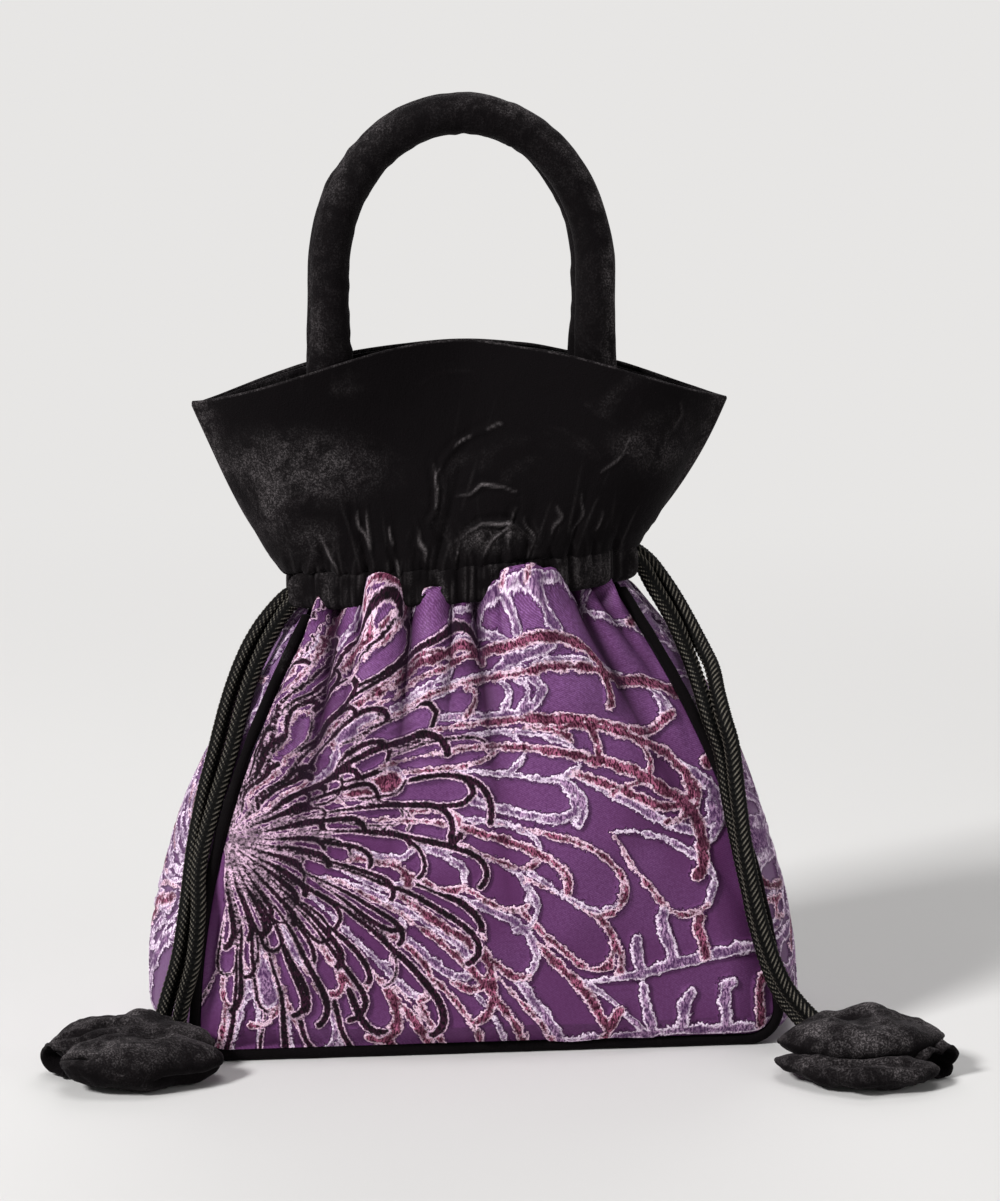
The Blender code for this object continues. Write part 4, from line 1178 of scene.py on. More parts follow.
def across_flat_cloth(x, lift):
    """How far across the cloth each place lies, measured along its folds from the middle column."""
    steps = np.hypot(np.diff(x, axis=1), GATHER_FULLNESS * np.diff(lift, axis=1))
    reached = np.concatenate([np.zeros_like(x[:, :1]), steps.cumsum(axis=1)], 1)
    middle = x.shape[1] // 2
    return reached - reached[:, middle : middle + 1]


def buckled_cloth(grid, side):
    """Sharp ridges where a panel is buckled as well as gathered, fading to 0 beyond."""
    ridges = 1 - 2.4 * np.abs(lattice_noise(grid * (1, 1, 0.6), 0.017, 51 + side))
    ridges += 0.5 - 1.2 * np.abs(lattice_noise(grid * (1, 1, 0.8), 0.008, 53 + side))
    middle, up, half_wide, half_high = BUCKLED[side]
    across, over = grid[..., 0] * 1000 - middle, grid[..., 2] * 1000 - up
    return ridges * bell(across / half_wide) * bell(over / half_high)


def rise_over_seam(grid, x, down, gathers, puffs):
    """Cloth bulges up over the seam: it stands in front of the casing and rolls in behind its top."""
    near_top = smooth_step(1 - down / PUFF_SHARE)
    pillowed = down / PILLOW_SHARE
    lift = puff_lift(x * 1000, puffs)
    pillow = smooth_step(1 - pillowed) * np.sqrt(lift / PUFF_TALLEST)
    grid[..., 1] -= PILLOW_DEPTH * pillow * np.sin(math.pi * np.clip(pillowed, 0, 1))
    lift = lift * near_top**2
    rolled = np.clip((near_top - ROLL_START) / (1 - ROLL_START), 0, 1) ** 2
    oval = np.sqrt(np.clip(1 - (x / CASING_HALF_WIDTH) ** 2, 0, 1))
    off_casing = (CASING_HALF_DEPTH + CASING_BULGE) * oval + PUFF_CLEARANCE + PUFF_ROUNDNESS * lift
    clear_of_casing = ROLL_BACK * rolled + 1.1 * gathers - off_casing
    in_front = np.minimum(grid[..., 1] + 0.4 * gathers, clear_of_casing)
    share = smooth_step(near_top * 1.3) * smooth_step(lift / 0.002 + 0.15)
    grid[..., 1] = mix(grid[..., 1], in_front, share)
    grid[..., 2] += lift - ROLL_DOWN * rolled * share


def build_panel(name, side, material, draw, creases, puffs):
    """A body panel with its gathers, soft wrinkles and raised pile lines."""
    grid, across, down = panel_patch(*PANEL_GRIDS[side], PIPING_RADIUS + GAP, PANEL_PROUD)
    x, z = grid[..., 0].copy(), grid[..., 2].copy()
    place, below = x * 1000, (BODY_TOP - z) * 1000
    edge = np.minimum(smooth_step(across / SIDE_EDGE_SHARE), smooth_step((1 - across) / SIDE_EDGE_SHARE))
    edge = np.minimum(edge, smooth_step((1 - down) / LOW_EDGE_SHARE))
    normal = grid_normals(grid)
    normal *= -np.sign(normal[..., 1:2])
    gathers = GATHER_DEEPENING * crease_depth(place, creases, below)
    buckled = buckled_cloth(grid, side)
    swell = GATHER_BILLOW * bell(below / GATHER_REACH) - gathers + BUCKLE_HEIGHT * buckled
    swell += waves(grid, *((size, seed + side, high) for size, seed, high in PANEL_WAVES))
    ripples = lattice_noise(grid * (1, 1, 0.35), 0.0055, 31 + side)
    swell += ripples * RIPPLE_HEIGHT * bell(below / RIPPLE_REACH, 1.5)
    swell = np.where(swell < 0, DEEPEST_HOLLOW * np.tanh(swell / DEEPEST_HOLLOW), swell)
    plane = np.stack([across_flat_cloth(x, swell), z], -1) * 1000
    lines, relief = drawn_pattern(draw, plane, grid, 3)
    # Painted shade in the gathers' valleys and the buckles: less shine and lustre there, and a hollow
    # value that darkens the cloth
    sunk = crease_depth(place, creases, below, 0.6) / 0.0056 + 0.6 * np.clip(-0.1 - buckled, 0, 1)
    values = {
        **lines,
        "shine": np.clip(cloth_shine(grid, HEARTS[side], 55, 41 + side) + 0.16 - 0.6 * sunk, 0, 1),
        "lustre": np.clip(cloth_lustre(grid, 45 + side) + 0.15 - sunk, 0, 1),
        "hollow": np.clip(1.1 * sunk - 0.15, 0, 0.85),
    }
    grid = grid + normal * ((swell + relief) * edge)[..., None]
    rise_over_seam(grid, x, down, gathers, puffs)
    grid[..., 1] *= side
    return grid_piece(name, lean_and_tilt(grid), material, values=values, plane=plane)


def gusset_patch(rows, columns, inset, margin, floor, neck_inset=0.0):
    """The strip round the sides and the bottom, with how far along and across each point lies."""
    side = even_shares(side_of_outline, rows // 3, 0.9)
    base = even_shares(bottom_of_outline, rows // 3, 0.5)
    inner = whole_outline(side, base, inset)
    x, z = inner.T
    turn_in = neck_turn_in(z, neck_inset)
    depth = half_depth(z) - margin * steepness(half_depth, z) - turn_in
    away = unit(whole_outline(side, base, inset - PIPING_RADIUS) - inner)
    upright = z >= CORNER_Z
    away[upright] = np.stack([np.sign(x[upright]), np.zeros(upright.sum())], -1)
    share = np.clip(z / BODY_TOP, 0, 1) ** GUSSET_POWER
    turn = smooth_step(np.abs(away[:, 1]))
    bulge = mix(mix(GUSSET_BULGE, GUSSET_NECK_BULGE, share), z.min() - floor, turn)
    power = mix(SIDE_ROUNDNESS, BOTTOM_FLATNESS, turn)
    level = np.zeros_like(x)
    start = np.stack([x - np.sign(x) * turn_in, level, z], -1)
    away = np.stack([away[:, 0], level, away[:, 1]], -1)
    reach = np.linspace(-1, 1, columns)
    swell = bulge[:, None] * (1 - np.abs(reach)[None] ** power[:, None])
    grid = start[:, None] + away[:, None] * swell[..., None]
    grid[..., 1] += reach[None] * depth[:, None]
    reached = lengths_along(start)
    return grid, reached - reached[-1] / 2, reach


def build_gusset(material):
    grid, along, reach = gusset_patch(*GUSSET_GRID, -PANEL_PROUD, PIPING_RADIUS + GAP, 0.0)
    normal = grid_normals(grid)
    outward = grid - (0, 0, BODY_TOP / 2)
    normal *= np.sign((normal * outward).sum(-1, keepdims=True))
    edge = smooth_step((1 - np.abs(reach)) / GUSSET_EDGE_SHARE)[None]
    below = (BODY_TOP - grid[..., 2]) * 1000
    swell = waves(grid, *GUSSET_WAVES) - crease_depth(grid[..., 1] * 1000, GUSSET_CREASES, below)
    plane = np.stack(np.broadcast_arrays(grid[..., 1], along[:, None]), -1) * 1000
    lines, relief = drawn_pattern(draw_gusset, plane, grid, 61)
    off_floor = smooth_step(grid[..., 2] / 0.012)
    relief = swell * off_floor + relief * smooth_step(grid[..., 2] / 0.003)
    grid = grid + normal * (relief * edge)[..., None]
    grid[..., 2] = np.maximum(grid[..., 2], 0.0)
    light = {"shine": cloth_shine(grid, (0, 80), 120, 63), "lustre": cloth_lustre(grid, 65)}
    values = {**lines, **light}
    return grid_piece("gusset_cloth", lean_and_tilt(grid), material, values=values, plane=plane)


def build_piping(name, side, material):
    """Velvet piping in a seam, a little uneven where it was sewn."""
    shares = np.linspace(0, 1, PIPING_POINTS)
    line = whole_outline(shares, shares, 0.0)
    x, z = line[line[:, 1] < BODY_TOP - PIPING_BELOW_NECK].T
    points, _ = even_line(lean_and_tilt(np.stack([x, side * half_depth(z), z], -1)), PIPING_STEP)
    uneven = waves(points, (0.011, 71 + side, 0.00022), (0.0035, 73 + side, 0.0001))
    grid = tube_grid(points, round_turns(PIPING_SIDES), PIPING_RADIUS + uneven[:, None])
    return capped_tube(name, grid, material)


def build_lining(material):
    """The lining bag, seen only down through the mouth."""
    turned_in = LINING_NECK_INSET - LINING_INSET
    parts = []
    for side in (1, -1):
        grid, _, _ = panel_patch(*LINING_PANEL_GRID, LINING_INSET, -LINING_INSET, turned_in)
        inward = np.abs(lattice_noise(grid, 0.02, 81 + side)) * 0.0012
        grid[..., 1] += inward * smooth_step((grid[..., 2] - 0.01) / 0.02)
        grid[..., 1] *= side
        parts.append(grid)
    insets = LINING_INSET, LINING_INSET, LINING_FLOOR, turned_in
    parts.append(gusset_patch(*LINING_GUSSET_GRID, *insets)[0])
    points, quads, start = [], [], 0
    for grid in parts:
        points.append(lean_and_tilt(grid).reshape(-1, 3))
        quads.append(grid_quads(*grid.shape[:2], start=start))
        start += len(points[-1])
    return make_mesh("lining_cloth", np.concatenate(points), np.concatenate(quads), material)


# Casing, collar and facing


def neck_oval(across, inset):
    turn = math.pi / 2 * across
    wide, deep = CASING_HALF_WIDTH - inset, CASING_HALF_DEPTH - inset
    return np.stack([wide * np.sin(turn), -deep * np.cos(turn)], -1)


def neck_puckers(place, seed):
    """Fine unevenness of gathered velvet round the neck, from -1 to 1."""
    points = np.stack([place, np.zeros_like(place), np.zeros_like(place)], -1)
    return waves(points, (4.2, seed, 0.6), (1.9, seed + 1, 0.4))


def casing_section():
    """The casing's C section from edge to edge: how far in each of its points lies, and how high."""
    half = CASING_HEIGHT / 2
    turn = np.linspace(-1, 1, CASING_ROWS)
    rounding = np.where(turn > 0, 9, 3)
    edge = CASING_EDGE * (1 - np.sqrt(np.clip(1 - np.abs(turn) ** rounding, 0, 1)))
    inward = np.concatenate([[CASING_LIP, CASING_LIP * 0.6], edge, [CASING_LIP * 0.6, CASING_LIP]])
    return inward, np.concatenate([[-half, -half], turn * half, [half, half]])


def build_casing(name, side, material, creases, pleats):
    """One half of the channel: its section swept round the neck, gathered along its length.

    Its ends flare round the drawstrings, which come out there.
    """
    half = CASING_HEIGHT / 2
    outer_in, outer_z = casing_section()
    columns = np.linspace(-CASING_END, CASING_END, CASING_COLUMNS[side])
    u, row = np.meshgrid(columns, np.arange(len(outer_in)))
    height, set_in = outer_z[row], outer_in[row]
    level = height / half
    u = u * (1 - CASING_TAPER * level**4)
    mouth = 1 - smooth_step((CASING_END - np.abs(u)) / CASING_MOUTH_SHARE)
    place = CASING_HALF_WIDTH * np.sin(math.pi / 2 * u) * 1000
    face = smooth_step(1 - set_in / CASING_FACE)
    below = (half + 0.004 - height) * 1000 * 0.12
    folds = crease_depth(place, creases, below) * 0.5 + crease_depth(place, pleats, below)
    bulge = CASING_BULGE - folds + neck_puckers(place + height * 180, 91 + side) * PUCKER_HEIGHT
    inset = set_in - face * (mix(bulge, 0.6 * CASING_BULGE, mouth) + CASING_FLARE * mouth)
    puckers = neck_puckers(place, 95 + side) * SEAM_PUCKER_HEIGHT * np.abs(level)
    z = NECK_Z + height * (1 - 0.06 * mouth) + puckers - CASING_MOUTH_DROP * mouth
    outer = np.concatenate([neck_oval(u, inset), z[..., None]], -1)
    inner_z = NECK_Z + (z - NECK_Z) * (1 - CASING_THICK / half)
    inner_inset = np.minimum(inset + CASING_THICK, CASING_LIP + 0.0004)
    inner = np.concatenate([neck_oval(u, inner_inset), inner_z[..., None]], -1)
    nap_and_sheen = np.clip(-neck_puckers(place + height * 120, 97 + side) * 0.6, 0, 0.28) * face
    broken = np.clip(0.55 + lattice_noise(outer, 0.004, 99 + side), 0, 1)
    light = np.maximum(crease_light(place, creases, below), crease_light(place, pleats, below))
    # Painted highlight beside the creases, and grey nap that is greyer at the flared ends
    values = {"nap_and_sheen": np.maximum(nap_and_sheen, 0.4 * mouth), "crease_highlight": CASING_CREASE_LIGHT * light * face * broken}
    return cloth_shell(name, side, outer, inner, material, values)


def rim_height(across):
    return RIM_CORNER_Z + RIM_CROWN * np.cos(math.pi / 2 * across) ** RIM_CROWN_POWER


def mouth_depth(across):
    reach = np.abs(across)
    return MOUTH_PINCH * (1 - reach) + MOUTH_OPEN * np.sin(math.pi * reach**MOUTH_SKEW)


def collar_surface(across, up):
    """The collar's outer face at the front, from the oval neck to the flared lens of the mouth."""
    turn = math.pi / 2 * across
    opened = smooth_step(up)
    wide = mix(CASING_HALF_WIDTH, RIM_HALF_WIDTH, up**COLLAR_FLARE_POWER)
    x = wide * mix(np.sin(turn), across, opened)
    y = mix(CASING_HALF_DEPTH * np.cos(turn), mouth_depth(across), opened)
    y = y + COLLAR_BELLY * np.sin(math.pi * up) * np.cos(turn)
    return np.stack([x, -y, mix(COLLAR_BOTTOM, rim_height(across), up)], -1)


def outward_normals(grid, up):
    """Unit normals that point away from the neck's axis low down and forwards at the mouth."""
    normal = grid_normals(grid)
    opened = smooth_step(up)
    away_x = grid[..., 0] / CASING_HALF_WIDTH * (1 - opened)
    away_y = grid[..., 1] / CASING_HALF_DEPTH * (1 - opened) - opened - 0.2
    facing = normal[..., 0] * away_x + normal[..., 1] * away_y
    return normal * np.sign(facing + 1e-12)[..., None]


def crumpled(x, z, lines):
    """Sharp ridges along crumples of the cloth, in metres, and a painted highlight along each one's crest.

    Places are in millimetres across and up from the collar's foot. A crumple gives its height, its
    width and the points it passes through.
    """
    rise, light = np.zeros_like(x), np.zeros_like(x)
    flat = np.stack([x, np.zeros_like(x), z], -1)
    shifted_x, shifted_z = x + 2.4 * lattice_noise(flat, 7.0, 5), z + 1.6 * lattice_noise(flat, 6.0, 6)
    places = np.stack([shifted_x, shifted_z], -1)
    for high, wide, *points in lines:
        line = np.array(points, float)
        nearest, along_line = np.full(x.shape, 1e3), np.zeros_like(x)
        for i, share, away in nearest_on_line(places, line):
            along_line = np.where(away < nearest, (i + share) / (len(line) - 1), along_line)
            nearest = np.minimum(nearest, away)
        ends = np.sin(math.pi * np.clip(along_line, 0.04, 0.96)) ** 0.5
        rise += high * ends * (bell(nearest / wide, 1) - 0.7 * bell((nearest - 2.2 * wide) / wide))
        light = np.maximum(light, min(high, 1.0) * ends * bell(nearest / 0.36))
    return rise / 1000, light


def collar_shape(across, up, side, creases, pleats):
    """The front collar with its pleats and waves, and how much its nap catches the light there."""
    grid = collar_surface(across, up)
    normal = outward_normals(grid, up)
    x, z = grid[..., 0] * 1000, (grid[..., 2] - COLLAR_BOTTOM) * 1000
    edge = smooth_step((1 - np.abs(across)) / 0.05)
    low = bell(z / 9)
    ridge, ridge_light = crumpled(x * side, z, COLLAR_CRUMPLES)
    folds = crease_depth(x, creases, z) * 0.8 + crease_depth(x, pleats, z)
    puckers = neck_puckers(x + z * 0.35, 101 + side) * PUCKER_HEIGHT
    sway = lattice_noise(grid * (1, 1, 0.5), 0.026, 103 + side) * COLLAR_SWAY
    swell = (COLLAR_FOOT_SWELL + puckers) * low - folds + ridge
    swell += sway * np.sin(math.pi * up) + lattice_noise(grid, 0.01, 105 + side) * COLLAR_GRAIN
    grid = grid + normal * (swell * edge - COLLAR_SEAM_IN * bell(z / 0.8))[..., None]
    across_alone = grid * (1, 0, 0)
    reach = COLLAR_FOOT_REACH * (1 + 0.6 * lattice_noise(across_alone, 0.009, 113 + side))
    sway = RIM_SWAY * lattice_noise(across_alone, 0.03, 107 + side) * edge
    rise = RIM_RISE * lattice_noise(across_alone, 0.022, 109 + side)
    grid[..., 1] += sway * smooth_step(up)
    grid[..., 2] += rise * smooth_step(up * 3 - 2) - reach * bell(z / 1.5)
    lines = 0.1 * crease_light(x, creases, z), 0.06 * crease_light(x, pleats, z), ridge_light
    broken = np.clip(0.5 + 1.3 * lattice_noise(grid, 0.006, 111 + side), 0, 1)
    return grid, np.maximum.reduce(lines) * broken


def nap_and_sheen_patches(x, z, patches):
    """Grey of crushed nap, partly painted sheen, inside soft-edged patches, given in millimetres from the
    collar's foot.
    """
    total = np.zeros_like(x)
    for middle_x, middle_z, half_x, half_z, strength in patches:
        away = ((x - middle_x) / half_x) ** 2 + ((z - middle_z) / half_z) ** 2
        total = np.maximum(total, strength * bell(away, 1.5))
    return total


def build_collar(name, side, material, creases, pleats, patches):
    rows, columns = COLLAR_GRIDS[side]
    low = np.linspace(0, 1, rows)
    u, v = np.meshgrid(np.linspace(-1, 1, columns), mix(low, low**1.6, 0.6))
    outer, light = collar_shape(u, v, side, creases, pleats)
    inner = outer - outward_normals(outer, v) * COLLAR_THICK

    # The rim's rolled edge
    roll = np.linspace(0.15, 1, RIM_ROWS)[:, None, None] * math.pi
    middle, half = (outer[-1] + inner[-1]) / 2, (outer[-1] - inner[-1]) / 2
    over = middle + half * np.cos(roll) + np.array([0, 0, COLLAR_THICK * 0.75]) * np.sin(roll)
    outer = np.concatenate([outer, over])
    inner = np.concatenate([inner, np.repeat(inner[-1:], RIM_ROWS, 0) - (0, 0, 0.0002)])

    x, z = outer[..., 0] * 1000, (outer[..., 2] - COLLAR_BOTTOM) * 1000
    nap_and_sheen = nap_and_sheen_patches(x * side, z, patches)
    # Painted sheen along the collar's side contours, a painted highlight on the rolled rim, and painted
    # highlights along the creases
    contour_sheen = 0.45 * bell((1 - np.abs(u)) / 0.055) * smooth_step(z[:rows] / 8)
    nap_and_sheen = np.concatenate([np.maximum(nap_and_sheen[:rows], contour_sheen), np.maximum(nap_and_sheen[rows:], 0.4)])
    values = {"nap_and_sheen": nap_and_sheen, "crease_highlight": np.concatenate([light, np.zeros_like(nap_and_sheen[rows:])])}
    return cloth_shell(name, side, outer, inner, material, values)


def build_facing(name, side, material):
    rows, columns = FACING_GRID
    u, v = np.meshgrid(np.linspace(-0.995, 0.995, columns), np.linspace(0, 0.992, rows))
    grid = collar_surface(u, v)
    normal = outward_normals(grid, v)
    close = COLLAR_THICK + 2 * GAP
    away = mix(FACING_NECK_INSET, close, smooth_step(v / 0.5))
    away = away + lattice_noise(grid, 0.018, 121 + side) * 0.0004
    outer = grid - normal * (away * smooth_step((1 - np.abs(u)) / 0.03) + 0.0004)[..., None]
    shell = []
    for part in (outer, outer - normal * FACING_THICK):
        deeper = np.linspace(CASING_BOTTOM + 0.0006, COLLAR_BOTTOM - 0.0008, FACING_LOW_ROWS)
        low = np.stack([part[0] * (1, 1, 0) + (0, 0, z) for z in deeper])
        part = np.concatenate([low, part])
        part[..., 1] = np.minimum(part[..., 1], -GAP)
        shell.append(part)
    return cloth_shell(name, side, *shell, material, {"nap_and_sheen": np.full(shell[0].shape[:2], 0.15)})


# Handles


def handle_line(count):
    """The handle's centreline in front view, from one root over the arch to the other."""
    angle = np.linspace(math.pi, 0, HANDLE_ARCH_POINTS)
    rise = np.linspace(0, HANDLE_SPRING_Z - HANDLE_ROOT_Z, HANDLE_LEG_POINTS, endpoint=False)
    leg = np.full(HANDLE_LEG_POINTS, HANDLE_HALF_SPAN)
    x = np.concatenate([-leg, HANDLE_HALF_SPAN * np.cos(angle), leg])
    arch_z = HANDLE_SPRING_Z + HANDLE_ARCH * np.sin(angle)
    z = np.concatenate([HANDLE_ROOT_Z + rise, arch_z, HANDLE_ROOT_Z + rise[::-1]])
    return even_line(np.stack([x, np.zeros_like(x), z], -1), count=count)


def build_handle(name, side, material, seed):
    """A padded tube, flattened at its sewn roots, with soft dents and small crosswise wrinkles."""
    rings, sides = HANDLE_GRID
    line, length = handle_line(rings)
    x, above_root = line[:, 0], line[:, 2] - HANDLE_ROOT_Z
    height = HANDLE_SPRING_Z + HANDLE_ARCH - HANDLE_ROOT_Z
    climb = np.clip(1 - above_root / height, 0, 1)
    depth = mix(HANDLE_RADIUS + GAP / 2, HANDLE_ROOT_DEPTH, climb**HANDLE_LEAN_POWER)
    centre = np.stack([x, -depth, line[:, 2]], -1)
    along = unit(np.gradient(line, axis=0))
    sideways = np.stack([-along[:, 2], np.zeros_like(x), along[:, 0]], -1)
    share = smooth_step(above_root / HANDLE_FLAT_LENGTH)
    thick = mix(HANDLE_ROOT_HALF_THICK, HANDLE_RADIUS, share)
    across = mix(HANDLE_ROOT_HALF_WIDTH, HANDLE_RADIUS, share)
    turns, far = np.meshgrid(round_turns(sides), np.linspace(0, length, len(line)))
    around = np.stack([np.cos(turns) * 0.008, np.sin(turns) * 0.008, far], -1)
    dents = lattice_noise(around, 0.017, seed)
    wrinkles = lattice_noise(around * (0.35, 0.35, 1), 0.0034, seed + 1)
    wrinkled = np.clip(0.35 + lattice_noise(around, 0.03, seed + 2), 0.1, 1)
    seam = HANDLE_SEAM * bell((turns - 1.5 * math.pi * side) % (2 * math.pi) / 0.09)
    relief = HANDLE_RELIEF * (dents + wrinkles * wrinkled) - seam
    relief *= smooth_step(np.minimum(far, length - far) / 0.01)
    offset = sideways[:, None] * ((across[:, None] + relief) * np.cos(turns))[..., None]
    offset[..., 1] -= (thick[:, None] + relief) * np.sin(turns)
    grid = (centre[:, None] + offset - (LEAN, 0, 0)) * (1, side, 1)
    # Painted sheen along the tube's outer edge, stronger towards the right, broken into patches
    outer_edge_sheen = np.clip(np.cos(turns) * 1.3 - 0.15, 0, 1)
    sheen_strength = mix(0.45, 0.95, smooth_step((x[:, None] + 0.01) / 0.03))
    nap_and_sheen = outer_edge_sheen * sheen_strength * (0.55 + 0.6 * lattice_noise(around, 0.014, seed + 3)) + 0.05
    return capped_tube(name, grid, material, {"nap_and_sheen": np.clip(nap_and_sheen, 0, 1)})


# Tassels


def leaf_axis(tip, middle, root, share):
    pull = 2 * middle - (tip + root) / 2
    share = share[:, None]
    centre = tip * (1 - share) ** 2 + pull * 2 * share * (1 - share) + root * share**2
    return centre, unit(mix(pull - tip, root - pull, share))


def folded_in(turns, far, slits, seed):
    """How much of its size a leaf keeps where slits fold it in, with a raised lip beside each slit."""
    kept = np.ones_like(turns)
    for angle, width, first, last, deep in slits:
        wander = 0.12 * np.sin(far * 9 + seed)
        away = (turns - math.radians(angle) + wander + math.pi) % (2 * math.pi) - math.pi
        ends = smooth_step((far - first) / 0.12) * smooth_step((last - far) / 0.12)
        lip = 0.4 * bell((np.abs(away) - 2.4 * width) / (1.3 * width))
        kept = kept + deep * ends * (lip - bell(away / width, 1.3))
    return kept


def pressed_in(far, length, wide, upper, dimples):
    """How deep, in millimetres, dimples press a leaf in from above."""
    pressed = np.zeros_like(wide)
    for place, across, size, deep in dimples:
        away = np.hypot((far - place) * length, wide - across / 1000) * 1000 / size
        pressed += deep * bell(away) * upper
    return pressed


def with_mouth(grid, nap_and_sheen, back):
    """A hollow leaf with the rolled mouth at its root, dark inside."""
    rim = grid[-1].mean(0)
    rows = [rim + (grid[-1] - rim) * size - back * depth / 1000 for size, depth in MOUTH_ROLL]
    rolled = np.repeat(nap_and_sheen[-1:] * 0.5, MOUTH_LIP_ROWS, 0)
    unlit = np.zeros((len(rows) - MOUTH_LIP_ROWS, grid.shape[1]))
    return np.concatenate([grid, rows]), np.concatenate([nap_and_sheen, rolled, unlit])


def build_leaf(name, material, seed, shape):
    """A puffed leaf of folded velvet, its nap crushed grey in places, with a painted sheen on its upper
    side and painted shade in its slits and dimples.
    """
    *points, half_width, half_thick, blunt, hollow, slits, dimples = shape
    tip, middle, root = (np.array(point) / 1000 for point in points)
    rings, sides = LEAF_GRID
    share = mix(0.008, 0.992, 0.5 - 0.5 * np.cos(np.linspace(0, math.pi, rings)))
    centre, along = leaf_axis(tip, middle, root, share)
    sideways = unit(np.cross(along, (0, 0, 1.0)))
    upward = np.cross(sideways, along)
    full = np.sin(math.pi * share * (HOLLOW_END if hollow else 1.0)) ** blunt
    turns, far = np.meshgrid(round_turns(sides) + math.pi / 2, share)
    kept = folded_in(turns, far, slits, seed)
    wide = half_width / 1000 * full[:, None] * np.cos(turns) * kept
    thick = half_thick / 1000 * full[:, None] * np.sin(turns) * kept
    grid = centre[:, None] + sideways[:, None] * wide[..., None] + upward[:, None] * thick[..., None]
    length = np.linalg.norm(tip - root)
    pressed = pressed_in(far, length, wide, np.clip(np.sin(turns), 0, 1), dimples)
    crush = waves(grid, *((size, seed + step, high) for size, step, high in LEAF_WAVES))
    normal = grid_normals(grid, closed=True)
    normal *= np.sign((normal * (grid - centre[:, None])).sum(-1, keepdims=True))
    lift = crush * np.minimum(full, 1)[:, None] - pressed / 1000 - 0.0002
    grid = grid + normal * lift[..., None]
    sunk = 1 - np.minimum(kept, 1)
    # Painted sheen on the upper side, and painted shade that takes the grey away in the slits and the
    # dimples
    nap_and_sheen = 0.16 + 0.56 * np.sin(turns) + 0.5 * lattice_noise(grid, 0.008, seed + 2)
    nap_and_sheen = nap_and_sheen - 1.6 * sunk - 0.12 * pressed
    if hollow:
        grid, nap_and_sheen = with_mouth(grid, nap_and_sheen, unit(centre[-1] - centre[-2]))
    floor = 0.0003 + 0.0004 * (1 + lattice_noise(grid, 0.006, seed + 3))
    grid[..., 2] = np.maximum(grid[..., 2], floor)
    return capped_tube(name, grid, material, {"nap_and_sheen": np.clip(nap_and_sheen, 0, 1)})


# Cords


def tube_grid(line, turns, radius):
    """Rings of points round a line, with directions that turn as little as they can along it."""
    along = unit(np.gradient(line, axis=0))
    first = np.zeros_like(line)
    first[0] = unit(np.cross(along[0], (0, 1, 0)))
    for i in range(1, len(line)):
        first[i] = unit(first[i - 1] - along[i] * (first[i - 1] @ along[i]))
    second = np.cross(along, first)
    ring = first[:, None] * np.cos(turns)[..., None] + second[:, None] * np.sin(turns)[..., None]
    return line[:, None] + ring * radius[..., None]


def braided_tube(name, route, material, sides, step):
    """A round braid: plaits cross over each other in chevrons all round the cord."""
    line, length = smooth_line(route, step)
    turns, travelled = np.meshgrid(round_turns(sides), np.linspace(0, length, len(line)))
    rib = (turns * BRAID_RIBS / (2 * math.pi)) % 1
    chevron = np.abs(rib * 2 - 1)
    stitch = 0.5 + 0.5 * np.cos(2 * math.pi * (travelled / BRAID_PITCH + chevron * BRAID_SLANT))
    crown = np.sin(math.pi * ((rib * 2) % 1)) ** 0.6
    raised = stitch**0.8 * (0.25 + 0.75 * crown)
    grid = tube_grid(line, turns, BRAID_CORE + BRAID_RELIEF * raised)
    return capped_tube(name, grid, material, {"stitch": raised}), line, length


def loop_route(level, turned):
    """A drawstring's way round the channel, from one side of its exit to the other."""
    inset = CASING_THICK + CORD_PLAY + CORD_DIAMETER / 2
    angle = np.radians(np.concatenate([180 + LOOP_TURNS, [360], 180 - LOOP_TURNS[::-1]]))
    x = turned * (CASING_HALF_WIDTH - inset - SIDE_SLACK) * np.cos(angle)
    y = (CASING_HALF_DEPTH - inset) * np.sin(angle)
    return lean_and_tilt(np.stack([x, y, np.full_like(x, NECK_Z + level)], -1))


def build_cords(braid):
    for name, route in STRANDS.items():
        side = name.split("_")[0]
        piece, line, length = braided_tube(name, route, braid, **CORD_MESH)
        stand_for(piece, side + "_cord")
    level = (CORD_DIAMETER + GAP) / 2
    for node, height, turned in (("left_cord", -level, 1), ("right_cord", level, -1)):
        route = loop_route(height, turned)
        piece, _, _ = braided_tube(node + "_neck_loop", route, braid, **LOOP_MESH)
        stand_for(piece, node)


# Room


def placed(name, data, place, target):
    """An object of the room that looks from its place towards a target."""
    item = bpy.data.objects.new(name, data)
    item.location = place
    item.rotation_euler = (Vector(target) - Vector(place)).to_track_quat("-Z", "Y").to_euler()
    bpy.context.scene.collection.objects.link(item)
    return item


def build_camera():
    data = bpy.data.cameras.new("camera")
    data.lens = CAMERA_LENS
    data.sensor_width = SENSOR_WIDTH
    bpy.context.scene.camera = placed("camera", data, CAMERA_PLACE, CAMERA_TARGET)


def seen_directly(tree):
    """A value of 1 for rays from the camera or a mirror, and 0 for light that falls on things."""
    path = tree.nodes.new("ShaderNodeLightPath")
    both = tree.nodes.new("ShaderNodeMath")
    both.operation = "MAXIMUM"
    for socket, ray in zip(both.inputs, ("Is Camera Ray", "Is Glossy Ray")):
        tree.links.new(path.outputs[ray], socket)
    return both.outputs[0]


def join_shaders(tree, share, first, second, output):
    """Two shaders joined by a share and led to the node tree's output."""
    join = tree.nodes.new("ShaderNodeMixShader")
    for socket, value in zip(join.inputs, (share, first.outputs[0], second.outputs[0])):
        tree.links.new(value, socket)
    tree.links.new(join.outputs[0], tree.nodes[output].inputs["Surface"])


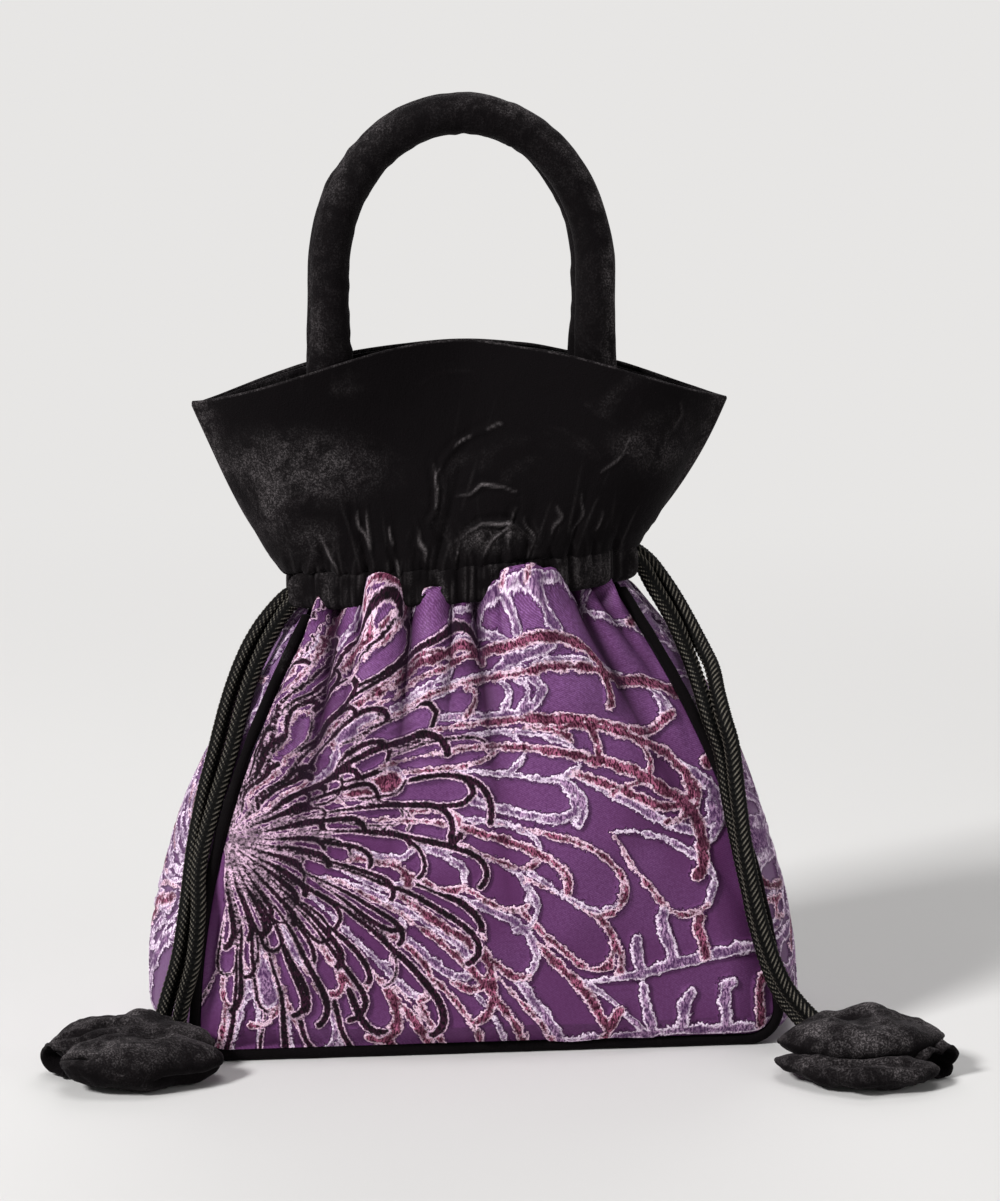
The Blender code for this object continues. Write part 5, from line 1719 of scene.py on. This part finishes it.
def floor_material():
    """A pale floor that keeps the shadows near the bag and runs into the background further out."""
    shader = Shader("floor")
    shader.finish(Base_Color=FLOOR_COLOR, Roughness=0.9, Specular_IOR_Level=0.1)
    away = shader.node("ShaderNodeVectorMath", {"operation": "LENGTH"}, Vector=shader.place)
    share = shader.times(shader.ramp(away.outputs["Value"], *FLOOR_FADE), seen_directly(shader.tree))
    glow = shader.node("ShaderNodeEmission", Color=BACKGROUND_COLOR)
    join_shaders(shader.tree, share, shader.surface, glow, "Material Output")
    return shader.material


def build_room():
    bpy.ops.mesh.primitive_circle_add(vertices=64, radius=FLOOR_RADIUS, fill_type="NGON")
    floor = bpy.context.object
    floor.name = "floor"
    floor.data.materials.append(floor_material())
    world = bpy.data.worlds.new("world")
    bpy.context.scene.world = world
    world.use_nodes = True
    tree = world.node_tree
    light = tree.nodes["Background"]
    light.inputs["Color"].default_value = (*SKY_COLOR, 1.0)
    light.inputs["Strength"].default_value = SKY_LIGHT
    seen = tree.nodes.new("ShaderNodeBackground")
    seen.inputs["Color"].default_value = (*BACKGROUND_COLOR, 1.0)
    join_shaders(tree, seen_directly(tree), light, seen, "World Output")
    for name, (place, watts, size) in LAMPS.items():
        data = bpy.data.lights.new(name, "AREA")
        data.energy = watts
        data.size = size
        placed(name, data, place, LAMP_TARGET)


# The bag


def stand_for(piece, node):
    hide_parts(node)
    return piece


def build_body(velvet, satin):
    devore = devore_material("purple_devore", 1.0)
    pale_devore = devore_material("pale_devore", 0.55)
    for name, side, draw, creases, puffs in (
        ("front_panel", 1, draw_front, FRONT_CREASES, FRONT_PUFFS),
        ("back_panel", -1, draw_back, BACK_CREASES, BACK_PUFFS),
    ):
        panel = build_panel(name + "_cloth", side, devore, draw, creases, puffs)
        stand_for(panel, name)
    gusset = stand_for(build_gusset(pale_devore), "gusset")
    for name, side in (("front_piping", -1), ("back_piping", 1)):
        stand_for(build_piping(name + "_cord", side, velvet), name)
    lining = stand_for(build_lining(satin), "lining_bag")


def build_top(prefix, side, creases, patches, seed, velvet):
    """The front or the back half of the casing, the collar and its facing, with that side's handle."""
    pleats = pleat_row(201 + side, **NECK_PLEATS)
    casing = build_casing(prefix + "_casing_cloth", side, velvet, creases, pleats)
    stand_for(casing, prefix + "_casing")
    collar = build_collar(prefix + "_collar_cloth", side, velvet, creases, pleats, patches)
    stand_for(collar, prefix + "_collar")
    facing = build_facing(prefix + "_facing_cloth", side, velvet)
    stand_for(facing, prefix + "_facing")
    handle = build_handle(prefix + "_handle_tube", side, velvet, seed)
    stand_for(handle, prefix + "_handle")


def build():
    bpy.context.scene.view_settings.view_transform = "Standard"
    for item in list(bpy.data.objects):
        if item.name in ("Cube", "Light", "Camera"):
            bpy.data.objects.remove(item)
    build_camera()
    build_room()
    velvet = velvet_material()
    cotton = cotton_material()
    for i, (name, shape) in enumerate(LEAVES.items()):
        leaf = build_leaf(name, velvet, 160 + 7 * i, shape)
        stand_for(leaf, name.replace("leaf", "petal"))
    build_cords(braid_material())
    build_body(velvet, satin_material())
    build_top("front", 1, COLLAR_CREASES, COLLAR_PATCHES, 141, velvet)
    build_top("back", -1, BACK_COLLAR_CREASES, BACK_COLLAR_PATCHES, 151, velvet)
    for name in ("front_handle_core", "back_handle_core"):
        node = frame["nodes"][name]
        node.data.materials.clear()
        node.data.materials.append(cotton)


build()
